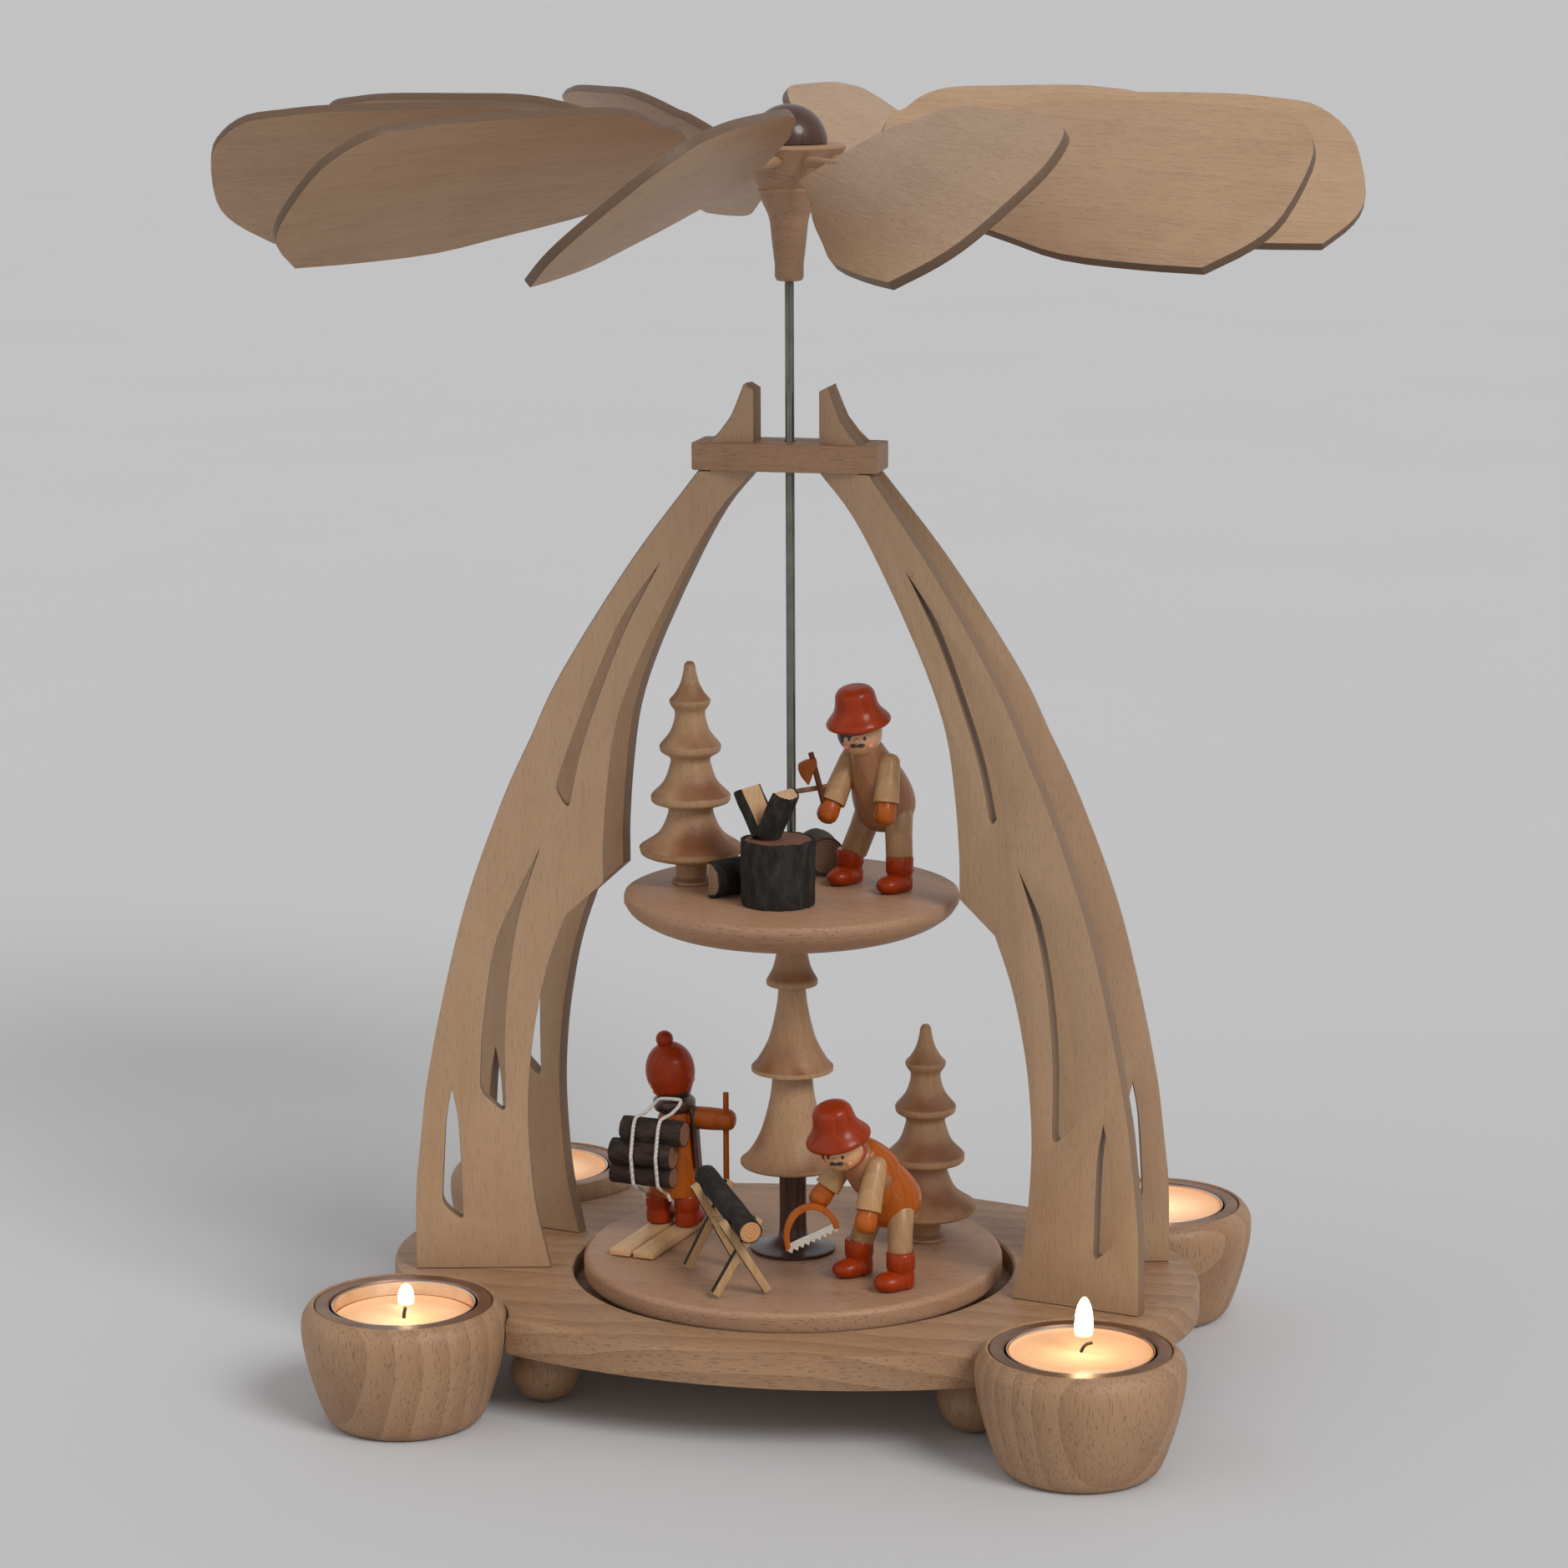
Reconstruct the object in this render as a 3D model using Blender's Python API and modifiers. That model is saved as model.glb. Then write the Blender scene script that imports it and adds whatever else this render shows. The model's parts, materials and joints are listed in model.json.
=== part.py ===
"""Candle carousel: a wooden table pyramid whose fan turns in the warm air of four tealights.

The axis of the rotor is the Z axis, the table is z = 0 and the long side of the base lies along X.
The near side is -Y. Everything from the bearing pit up to the knob turns together; each blade
can also be turned about its own peg, and each tealight lifts out of its cup.
"""

import math

import bmesh
import bpy
from mathutils import Matrix, Vector

MM = 0.001
TURN = 2 * math.pi

# clearances shared by every fit
SEAT_GAP = 0.2 * MM
RUN_GAP = 0.3 * MM
SIDE_GAP = 0.1 * MM
MERGE = 0.01 * MM

# base plate
PLATE_TOP = 28.5 * MM
PLATE_THICKNESS = 10 * MM
PLATE_DEPTH = 153 * MM
PLATE_LENGTH = 222 * MM
PLATE_FRONT_RADIUS = 159 * MM
PLATE_LOBE_SHARE = 0.3725
PLATE_EDGE = 2 * MM
RECESS_RADIUS = 60 * MM
RECESS_DEPTH = 6 * MM
PIT_BOSS_RADIUS = 5 * MM
PIT_BOSS_HEIGHT = 2 * MM
PIT_DEPTH = 1.2 * MM

# ball feet
FOOT_X = 58.3 * MM
FOOT_Y = 42.8 * MM
FOOT_RADIUS = 9.75 * MM

# candle cups, their metal inserts and the tealights
CUP_INSET_X = 21 * MM
CUP_INSET_Y = 10.5 * MM
CUP_X = PLATE_LENGTH / 2 - CUP_INSET_X
CUP_Y = PLATE_DEPTH / 2 - CUP_INSET_Y
CUP_RADIUS = 26.9 * MM
CUP_HEIGHT = 32.3 * MM
CUP_RIM_WIDTH = 1 * MM
FLANGE_RADIUS = 23.3 * MM
FLANGE_THICKNESS = 0.6 * MM
INSERT_WALL = 0.45 * MM
TEALIGHT_RADIUS = 19 * MM
TEALIGHT_HEIGHT = 15.4 * MM
SHELL_WALL = 0.4 * MM
TEALIGHT_PLAY = 0.5 * MM
WAX_DEPTH = 13.8 * MM
WAX_LIP = 0.4 * MM
WICK_RADIUS = 0.7 * MM
WICK_LENGTH = 5 * MM

# legs
LEG_THICKNESS = 4.4 * MM
LEG_ANGLE = math.radians(14)
LEG_REACH = 102.5 * MM
LEG_RISE = 217.5 * MM
TENON_INNER = 9.6 * MM
TENON_OUTER = 21 * MM
TIP_RISE = 22 * MM
TIP_WIDTH = 2.5 * MM

# top bar
BAR_THICKNESS = 7.5 * MM
BAR_LENGTH = 50 * MM
BAR_DEPTH = 17.2 * MM
BAR_END_DEPTH = 15 * MM

# shaft, hub and knob
SHAFT_RADIUS = 1.2 * MM
SHAFT_POINT = 2.5 * MM
HUB_RADIUS = 15 * MM
HUB_LIFT = 42.3 * MM
HUB_HEIGHT = 35.4 * MM
HUB_BORE_DEPTH = 27 * MM
KNOB_RADIUS = 10.1 * MM

# fan blades
BLADE_COUNT = 10
BLADE_FIRST = math.radians(-91.84)
BLADE_PITCH = math.radians(38.5)
BLADE_REACH = 149 * MM
BLADE_WIDTH = 58 * MM
BLADE_THICKNESS = 2.5 * MM
PEG_RADIUS = 1.5 * MM
PEG_DROP = 4 * MM
PEG_INNER = 8.8 * MM
PEG_OUTER = 40 * MM

# turning discs
LOWER_DISC_TOP = 32.6 * MM
LOWER_DISC_RADIUS = 57 * MM
LOWER_DISC_THICKNESS = 6.2 * MM
UPPER_DISC_TOP = 132.8 * MM
UPPER_DISC_RADIUS = 45 * MM
UPPER_DISC_THICKNESS = 11.2 * MM
DISC_EDGE = 1 * MM

# the tall tree on the axis
TRUNK_HEIGHT = 21.6 * MM
TRUNK_FOOT_RADIUS = 11.5 * MM
CROWN_RADIUS = 14.2 * MM

# turned trees
TREE_HEIGHT = 60.4 * MM
TREE_RADIUS = 13.8 * MM
UPPER_TREE_PLACE = (-28.7 * MM, 3.8 * MM)
LOWER_TREE_PLACE = (33.4 * MM, 16.8 * MM)

# wood on the upper disc
BLOCK_PLACE = (0.2 * MM, -16.7 * MM)
BLOCK_RADIUS = 9.6 * MM
BLOCK_HEIGHT = 17.2 * MM
SPLIT_RADIUS = 4.6 * MM
SPLIT_LENGTH = 12.5 * MM
SPLIT_LEAN = math.radians(27)
SPLIT_SHIFT = 3.1 * MM
SPLIT_OVERLAP = 0.6 * MM
HALF_LOG_PLACE = (-16.2 * MM, -9.6 * MM)
HALF_LOG_RADIUS = 4.8 * MM
HALF_LOG_LENGTH = 11 * MM
ROUND_LOG_PLACE = (2.6 * MM, 24.3 * MM)
ROUND_LOG_RADIUS = 5.3 * MM
ROUND_LOG_LENGTH = 13 * MM

# dolls: every share in their tables is of this height, stage to crown of the head
DOLL_HEIGHT = 50 * MM
HAT_RADIUS = 8.7 * MM
HAT_HEIGHT = 10.7 * MM
WOODCUTTER_PLACE = (20.5 * MM, 8.4 * MM)
WOODCUTTER_HEADING = math.radians(-115.6)
SAWYER_PLACE = (28.4 * MM, -23.2 * MM)
SAWYER_HEADING = math.radians(-125.8)
WALKER_PLACE = (-36 * MM, 10.5 * MM)
WALKER_HEADING = math.radians(80.3)

# tools and loads; the axe and the saw lie in upright planes with this heading
TOOL_HEADING = math.radians(13.06)
AXE_LENGTH = 16.4 * MM
AXE_HANDLE_RADIUS = 0.85 * MM
AXE_THICKNESS = 1.8 * MM
SAW_WIDTH = 13.6 * MM
SAW_THICKNESS = 1.3 * MM
SAWHORSE_NEAR = (-4 * MM, -43.9 * MM)
SAWHORSE_FAR = (-17 * MM, -22.3 * MM)
SAWHORSE_NEAR_CROSSING = 12.4 * MM
SAWHORSE_FAR_CROSSING = 14.2 * MM
SAWHORSE_SPREAD = 14.2 * MM
SAWHORSE_TIMBER = 2.2 * MM
SAWN_LOG_RADIUS = 3.1 * MM
SAWN_LOG_NEAR_END = 8.5 * MM
SAWN_LOG_FAR_END = 6 * MM
BUNDLE_LOG_RADIUS = 3.5 * MM
BUNDLE_LOG_LENGTH = 18 * MM
CORD_RADIUS = 0.45 * MM


def derive_heights():
    """Heights that follow from the named sizes."""
    bar_bottom = PLATE_TOP + LEG_RISE
    insert_top = CUP_HEIGHT - SEAT_GAP
    insert_bore = TEALIGHT_RADIUS + TEALIGHT_PLAY
    shell_bottom = insert_top - SEAT_GAP - TEALIGHT_HEIGHT
    return bar_bottom, insert_top, insert_bore, shell_bottom


BAR_BOTTOM, INSERT_TOP, INSERT_BORE, SHELL_BOTTOM = derive_heights()
HUB_BOTTOM = BAR_BOTTOM + BAR_THICKNESS + HUB_LIFT
PEG_HEIGHT = HUB_BOTTOM + HUB_HEIGHT - PEG_DROP
PLATE_BOTTOM = PLATE_TOP - PLATE_THICKNESS
PLATE_LOBE_RADIUS = PLATE_DEPTH * PLATE_LOBE_SHARE
RECESS_FLOOR = PLATE_TOP - RECESS_DEPTH
SHAFT_BORE = SHAFT_RADIUS + RUN_GAP
SHAFT_BOTTOM = RECESS_FLOOR + PIT_BOSS_HEIGHT - PIT_DEPTH + SEAT_GAP
SHAFT_TOP = HUB_BOTTOM + HUB_BORE_DEPTH - RUN_GAP
CORNERS = {"fl": (-1, -1), "fr": (1, -1), "rl": (-1, 1), "rr": (1, 1)}

# outline of a leg from the plate up its outer edge: shares of the reach and of the rise
leg_outer_shares = (
    (1, 0), (0.997, 0.099), (0.981, 0.172), (0.963, 0.239), (0.917, 0.347), (0.852, 0.467),
    (0.755, 0.592), (0.675, 0.674), (0.612, 0.738), (0.504, 0.823), (0.383, 0.908), (0.234, 1),
)
# its inner edge from the bar down to the shoulder under the upper disc
leg_upper_shares = (
    (0.093, 1), (0.19, 0.948), (0.291, 0.867), (0.393, 0.77), (0.452, 0.694),
    (0.478, 0.618), (0.491, 0.545), (0.492, 0.492),
)
# and from that shoulder down to the plate
leg_lower_shares = (
    (0.592, 0.451), (0.634, 0.398), (0.663, 0.345), (0.687, 0.278), (0.698, 0.205),
    (0.693, 0.136), (0.678, 0.071), (0.644, 0),
)
# the three leaf-shaped slots of a leg: the outer side from the tip down, then the inner side up
slot_shares = (
    ((0.341, 0.885), (0.434, 0.823), (0.512, 0.742), (0.578, 0.662), (0.615, 0.611),
     (0.581, 0.583), (0.546, 0.658), (0.49, 0.735), (0.425, 0.81)),
    ((0.659, 0.533), (0.727, 0.47), (0.781, 0.408), (0.814, 0.307), (0.824, 0.228),
     (0.757, 0.199), (0.754, 0.323), (0.719, 0.442)),
    ((0.898, 0.232), (0.912, 0.198), (0.919, 0.163), (0.929, 0.084), (0.873, 0.06),
     (0.879, 0.159), (0.885, 0.2)),
)
# a fan blade: shares of its reach and of its width, from the peg's line
blade_shares = (
    (0.933, 0.334), (0.977, 0.216), (1, 0.052), (1, -0.264), (0.97, -0.44), (0.919, -0.555),
    (0.785, -0.586), (0.638, -0.564), (0.52, -0.46), (0.396, -0.352), (0.27, -0.215),
    (0.164, -0.138), (0.222, 0.07), (0.293, 0.248), (0.336, 0.286), (0.4, 0.37),
    (0.483, 0.422), (0.62, 0.42), (0.785, 0.407), (0.87, 0.375),
)
# a candle cup's outside, from the rim down: shares of its radius and height
cup_shares = (
    (0.914, 1), (0.993, 0.898), (1, 0.743), (0.963, 0.557), (0.888, 0.319), (0.788, 0.087),
    (0.688, 0),
)
# the hub's outside, from the rim down
hub_shares = (
    (0.95, 1), (1, 0.977), (0.56, 0.698), (0.53, 0.684), (0.55, 0.667), (0.45, 0.56),
    (0.347, 0.458), (0.3, 0.288), (0.253, 0.119), (0.253, 0.025), (0.213, 0),
)
# half of the ball shape of a foot
foot_shares = ((0.31, 1), (0.72, 0.86), (0.93, 0.66), (1, 0.5), (0.93, 0.34), (0.72, 0.14), (0.31, 0))
# the underside of the upper disc from its rim inwards
lens_shares = ((1, 0.79), (0.955, 0.54), (0.84, 0.27), (0.66, 0.07), (0.45, 0))
# the tall tree: trunk, then crown, each from its top down
trunk_shares = ((0.322, 1), (0.322, 0.26), (0.42, 0.14), (0.68, 0.06), (0.97, 0.035), (1, 0))
crown_shares = (
    (0.254, 1), (0.28, 0.93), (0.36, 0.85), (0.49, 0.79), (0.465, 0.775), (0.254, 0.771),
    (0.3, 0.68), (0.44, 0.55), (0.65, 0.46), (0.782, 0.422), (0.74, 0.41), (0.373, 0.405),
    (0.43, 0.29), (0.6, 0.15), (0.82, 0.06), (1, 0.015), (0.94, 0),
)
# a turned tree from its tip down
tree_shares = (
    (0.06, 1), (0.13, 0.95), (0.19, 0.9), (0.3, 0.855), (0.391, 0.832), (0.4, 0.818), (0.3, 0.778),
    (0.31, 0.74), (0.4, 0.682), (0.585, 0.63), (0.6, 0.614), (0.4, 0.568), (0.41, 0.53),
    (0.53, 0.458), (0.755, 0.405), (0.775, 0.388), (0.46, 0.342), (0.47, 0.3), (0.64, 0.225),
    (0.985, 0.17), (1, 0.153), (0.95, 0.128), (0.64, 0.105), (0.34, 0.092), (0.31, 0.03), (0.39, 0),
)
# a bell-shaped hat from its crown down
hat_shares = (
    (0.36, 0.985), (0.5, 0.93), (0.6, 0.82), (0.645, 0.62), (0.69, 0.46), (0.8, 0.31), (0.93, 0.19),
    (1, 0.1), (0.9, 0),
)
# an axe head beside and above the hand: shares of the axe's length
axe_head_shares = (
    (-0.366, 0.878), (-0.488, 0.811), (-0.488, 0.72), (-0.439, 0.604), (-0.317, 0.451),
    (-0.268, 0.573), (-0.238, 0.665), (-0.171, 0.78), (-0.195, 0.915), (-0.268, 0.89),
)
axe_handle_shares = ((-0.037, 0.03), (-0.28, 1))
# the bow of the saw and its toothed blade: shares of the saw's width
bow_outer_shares = (
    (-0.5, -0.36), (-0.54, 0.08), (-0.38, 0.44), (-0.04, 0.62), (0.3, 0.52), (0.5, 0.28), (0.54, 0.12),
)
bow_inner_shares = ((0.36, 0.04), (0.28, 0.3), (-0.02, 0.46), (-0.29, 0.3), (-0.41, 0.02), (-0.34, -0.12))
# the logs on the walker's back: behind, shift to the left and height of each, shares of the doll's height,
# and the radius as a share of the thickest
bundle_shares = ((-0.188, 0.032, 0.604, 1), (-0.218, 0.088, 0.48, 1), (-0.208, 0.092, 0.358, 0.86))


def new_collection(name):
    """A collection of the scene with this name."""
    made = bpy.data.collections.new(name)
    bpy.context.scene.collection.children.link(made)
    return made


for leftover in list(bpy.data.objects):
    bpy.data.objects.remove(leftover, do_unlink=True)
PARTS = new_collection("candle_carousel")
CUTTERS = new_collection("cutters")


def look(name, colour, roughness, metallic=0.0):
    """A plain Principled material."""
    made = bpy.data.materials.new(name)
    made.use_nodes = True
    shader = made.node_tree.nodes["Principled BSDF"]
    shader.inputs["Base Color"].default_value = (*colour, 1)
    shader.inputs["Roughness"].default_value = roughness
    shader.inputs["Metallic"].default_value = metallic
    made.diffuse_color = (*colour, 1)
    return made


BEECH = look("beech", (0.56, 0.35, 0.2), 0.55)
MAPLE = look("maple", (0.58, 0.4, 0.24), 0.5)
WALNUT = look("walnut", (0.06, 0.03, 0.02), 0.4)
BARK = look("bark", (0.05, 0.035, 0.03), 0.85)
STAINED_ORANGE = look("stained_orange", (0.58, 0.06, 0.01), 0.35)
COAT_ORANGE = look("coat_orange", (0.5, 0.13, 0.03), 0.35)
STEEL = look("steel", (0.22, 0.22, 0.2), 0.35, 1.0)
ALUMINIUM = look("aluminium", (0.78, 0.76, 0.73), 0.3, 1.0)
WAX = look("wax", (0.88, 0.8, 0.68), 0.4)
CORD = look("white_cord", (0.75, 0.72, 0.66), 0.8)


def place(name, mesh, finish, home=PARTS):
    """An object for this mesh in one of the two collections."""
    made = bpy.data.objects.new(name, mesh)
    if finish and not mesh.materials:
        mesh.materials.append(finish)
    home.objects.link(made)
    if home is CUTTERS:
        made.hide_render = True
        made.display_type = "WIRE"
    return made


def settle(work, name):
    """The mesh of a finished bmesh, with smooth round sides."""
    bmesh.ops.recalc_face_normals(work, faces=work.faces)
    mesh = bpy.data.meshes.new(name)
    work.to_mesh(mesh)
    work.free()
    mesh.shade_smooth()
    mesh.set_sharp_from_angle(angle=math.radians(35))
    return mesh


def profile_mesh(name, profile, ring=False):
    """The edge chain that a Screw turns into a solid."""
    work = bmesh.new()
    corners = [work.verts.new((radius, 0, height)) for radius, height in profile]
    pairs = list(zip(corners, corners[1:]))
    if ring:
        pairs.append((corners[-1], corners[0]))
    for pair in pairs:
        work.edges.new(pair)
    mesh = bpy.data.meshes.new(name)
    work.to_mesh(mesh)
    work.free()
    return mesh


def turned(name, profile, finish, steps, ring=False, home=PARTS):
    """A turned piece: its profile runs down the outer side."""
    made = place(name, profile_mesh(name, profile, ring), finish, home)
    screw = made.modifiers.new("turning", "SCREW")
    screw.steps = steps
    screw.render_steps = steps
    screw.use_merge_vertices = True
    screw.merge_threshold = MERGE
    screw.use_smooth_shade = True
    return made


def scaled(shares, width, height, base=0):
    """Profile or outline points from a table of shares."""
    return [(share * width, base + rise * height) for share, rise in shares]


def smooth_run(points, cuts):
    """A polyline through the points with cuts - 1 more between each two, on a Catmull-Rom curve."""
    knots = [Vector(point) for point in points]
    padded = [2 * knots[0] - knots[1], *knots, 2 * knots[-1] - knots[-2]]
    run = []
    for before, start, end, after in zip(padded, padded[1:], padded[2:], padded[3:]):
        for cut in range(cuts):
            t = cut / cuts
            bend = 2 * start + (end - before) * t
            bend += (2 * before - 5 * start + 4 * end - after) * t * t
            bend += (3 * start - before - 3 * end + after) * t * t * t
            run.append(tuple(bend / 2))
    run.append(tuple(knots[-1]))
    return run


def slab_mesh(name, outline, thickness, holes=()):
    """A flat outline of this thickness, centred on its own plane."""
    curve = bpy.data.curves.new(name, "CURVE")
    curve.dimensions = "2D"
    curve.fill_mode = "BOTH"
    curve.extrude = thickness / 2
    for loop in (outline, *holes):
        spline = curve.splines.new("POLY")
        spline.points.add(len(loop) - 1)
        for point, spot in zip(spline.points, loop):
            point.co = (spot[0], spot[1], 0, 1)
        spline.use_cyclic_u = True
    return solid_from_curve(name, curve)


def solid_from_curve(name, curve):
    """The welded mesh of a curve, with whole flat faces; the curve is then dropped."""
    helper = bpy.data.objects.new(name, curve)
    PARTS.objects.link(helper)
    graph = bpy.context.evaluated_depsgraph_get()
    drawn = bpy.data.meshes.new_from_object(helper.evaluated_get(graph))
    work = bmesh.new()
    work.from_mesh(drawn)
    bmesh.ops.remove_doubles(work, verts=work.verts, dist=MERGE)
    if curve.dimensions == "2D":
        bmesh.ops.dissolve_limit(work, angle_limit=math.radians(1), verts=work.verts, edges=work.edges)
    bpy.data.objects.remove(helper)
    bpy.data.curves.remove(curve)
    bpy.data.meshes.remove(drawn)
    return settle(work, name)


def tube_mesh(name, points, radius):
    """A round cord or wire through the points."""
    curve = bpy.data.curves.new(name, "CURVE")
    curve.dimensions = "3D"
    curve.bevel_depth = radius
    curve.bevel_resolution = 1
    curve.use_fill_caps = True
    spline = curve.splines.new("POLY")
    spline.points.add(len(points) - 1)
    for point, spot in zip(spline.points, points):
        point.co = (*spot, 1)
    return solid_from_curve(name, curve)


def rod_mesh(name, start, end, radius, end_radius=None, sides=10):
    """A straight round stick, tapered when the second radius is given."""
    start = Vector(start)
    run = Vector(end) - start
    work = bmesh.new()
    bmesh.ops.create_cone(
        work, cap_ends=True, segments=sides, radius1=radius,
        radius2=radius if end_radius is None else end_radius, depth=run.length,
    )
    turn = run.to_track_quat("Z", "Y").to_matrix().to_4x4()
    bmesh.ops.transform(work, matrix=Matrix.Translation(start + run / 2) @ turn, verts=work.verts)
    return settle(work, name)


def ball_mesh(name, centre, radii, segments=12, rings=8, floor=None):
    """A ball stretched to three radii, flat underneath where a floor is given."""
    work = bmesh.new()
    bmesh.ops.create_uvsphere(work, u_segments=segments, v_segments=rings, radius=1)
    stretch = Matrix.Diagonal((*radii, 1))
    bmesh.ops.transform(work, matrix=Matrix.Translation(centre) @ stretch, verts=work.verts)
    if floor is not None:
        for vertex in work.verts:
            vertex.co.z = max(vertex.co.z, floor)
    return settle(work, name)


def box_mesh(name, centre, sides):
    """A box from its centre and its three sides."""
    work = bmesh.new()
    bmesh.ops.create_cube(work, size=1)
    stretch = Matrix.Diagonal((*sides, 1))
    bmesh.ops.transform(work, matrix=Matrix.Translation(centre) @ stretch, verts=work.verts)
    return settle(work, name)


def beam_mesh(name, start, end, side):
    """A square timber between two points."""
    start = Vector(start)
    run = Vector(end) - start
    work = bmesh.new()
    bmesh.ops.create_cube(work, size=1)
    turn = run.to_track_quat("Z", "Y").to_matrix().to_4x4()
    stretch = Matrix.Diagonal((side, side, run.length, 1))
    middle = Matrix.Translation(start + run / 2)
    bmesh.ops.transform(work, matrix=middle @ turn @ stretch, verts=work.verts)
    return settle(work, name)


def combine(target, others, operation):
    """Boolean steps on the target; the other objects are helpers."""
    for other in others:
        step = target.modifiers.new(operation.lower(), "BOOLEAN")
        step.operation = operation
        step.solver = "EXACT"
        step.object = other


def joined(name, meshes, finish, cut=()):
    """One solid united from several meshes, less the cutters."""
    made = place(name, meshes[0], finish)
    helpers = [place(f"{name}_shape_{i}", mesh, None, CUTTERS) for i, mesh in enumerate(meshes[1:])]
    combine(made, helpers, "UNION")
    cutters = [place(f"{name}_cutter_{i}", mesh, None, CUTTERS) for i, mesh in enumerate(cut)]
    combine(made, cutters, "DIFFERENCE")
    return made


def put(thing, spot, turn=0.0, parent=None):
    """Stands an object at a spot, turned about the vertical."""
    thing.parent = parent
    thing.location = spot
    thing.rotation_euler = (0, 0, turn)
    return thing


def arc(centre, radius, start, end, count):
    """Points along an arc, both ends included."""
    return [
        (
            centre[0] + radius * math.cos(start + (end - start) * i / count),
            centre[1] + radius * math.sin(start + (end - start) * i / count),
        )
        for i in range(count + 1)
    ]


def circles_meet(first, first_radius, second, second_radius, side):
    """Where two circles cross, on the chosen side of the line from the first centre to the second."""
    line = Vector(second) - Vector(first)
    along = (first_radius**2 - second_radius**2 + line.length_squared) / (2 * line.length)
    across = math.sqrt(first_radius**2 - along**2)
    unit = line.normalized()
    return Vector(first) + unit * along + side * across * Vector((-unit.y, unit.x))


def heading_of(point, centre):
    """The direction from a centre to a point."""
    return math.atan2(point[1] - centre[1], point[0] - centre[0])


def plate_quarter():
    """The outline from the middle of the right end to the middle of the rear side."""
    lobe = (PLATE_LENGTH / 2 - PLATE_LOBE_RADIUS, 0)
    side = (0, PLATE_DEPTH / 2 - PLATE_FRONT_RADIUS)
    cup = (CUP_X, CUP_Y)
    notch = CUP_RADIUS + RUN_GAP
    low = circles_meet(lobe, PLATE_LOBE_RADIUS, cup, notch, -1)
    high = circles_meet(side, PLATE_FRONT_RADIUS, cup, notch, 1)
    run = arc(lobe, PLATE_LOBE_RADIUS, 0, heading_of(low, lobe), 5)
    run += arc(cup, notch, heading_of(low, cup), heading_of(high, cup), 9)[1:]
    run += arc(side, PLATE_FRONT_RADIUS, heading_of(high, side), TURN / 4, 5)[1:]
    return run


def plate_outline():
    """The whole outline of the base plate, anticlockwise."""
    quarter = plate_quarter()
    left = [(-x, y) for x, y in reversed(quarter)][1:]
    half = quarter + left
    return half + [(x, -y) for x, y in reversed(half)][1:-1]


def build_base():
    """Plate, ball feet, cups with their inserts, legs and the bar that ties the legs."""
    plate = place("base_plate", slab_mesh("base_plate", plate_outline(), PLATE_THICKNESS), BEECH)
    put(plate, (0, 0, PLATE_TOP - PLATE_THICKNESS / 2))
    edge = plate.modifiers.new("rounded edge", "BEVEL")
    edge.width = PLATE_EDGE
    edge.segments = 2
    edge.limit_method = "ANGLE"
    edge.angle_limit = math.radians(40)
    boss_top = RECESS_FLOOR + PIT_BOSS_HEIGHT
    recess_profile = [
        (0, PLATE_TOP + RECESS_DEPTH), (RECESS_RADIUS, PLATE_TOP + RECESS_DEPTH),
        (RECESS_RADIUS, RECESS_FLOOR), (PIT_BOSS_RADIUS, RECESS_FLOOR), (PIT_BOSS_RADIUS, boss_top),
        (SHAFT_BORE, boss_top), (SHAFT_BORE, boss_top - PIT_DEPTH), (0, boss_top - PIT_DEPTH),
    ]
    recess = turned("recess_cutter", recess_profile, None, 40, home=CUTTERS)
    combine(plate, [recess], "DIFFERENCE")

    foot_height = PLATE_BOTTOM - SEAT_GAP
    foot_profile = [(0, foot_height), *scaled(foot_shares, FOOT_RADIUS, foot_height), (0, 0)]
    cup_floor = SHELL_BOTTOM - 2 * SEAT_GAP - INSERT_WALL
    cup_bore = INSERT_BORE + INSERT_WALL + RUN_GAP
    step_height = INSERT_TOP - FLANGE_THICKNESS - SEAT_GAP
    mouth = CUP_RADIUS * cup_shares[0][0] - CUP_RIM_WIDTH
    cup_profile = [
        (0, cup_floor), (cup_bore, cup_floor), (cup_bore, step_height), (mouth, step_height),
        (mouth, CUP_HEIGHT), *scaled(cup_shares, CUP_RADIUS, CUP_HEIGHT), (0, 0),
    ]
    insert_floor = SHELL_BOTTOM - SEAT_GAP
    insert_profile = [
        (0, insert_floor), (INSERT_BORE, insert_floor), (INSERT_BORE, INSERT_TOP),
        (FLANGE_RADIUS, INSERT_TOP), (FLANGE_RADIUS, INSERT_TOP - FLANGE_THICKNESS),
        (INSERT_BORE + INSERT_WALL, INSERT_TOP - FLANGE_THICKNESS),
        (INSERT_BORE + INSERT_WALL, insert_floor - INSERT_WALL), (0, insert_floor - INSERT_WALL),
    ]
    for corner, (side, depth) in CORNERS.items():
        foot = turned(f"ball_foot_{corner}", foot_profile, BEECH, 14)
        put(foot, (side * FOOT_X, depth * FOOT_Y, 0))
        cup = turned(f"candle_cup_{corner}", cup_profile, BEECH, 22)
        put(cup, (side * CUP_X, depth * CUP_Y, 0))
        insert = turned(f"cup_insert_{corner}", insert_profile, ALUMINIUM, 22)
        put(insert, (side * CUP_X, depth * CUP_Y, 0))


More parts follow.
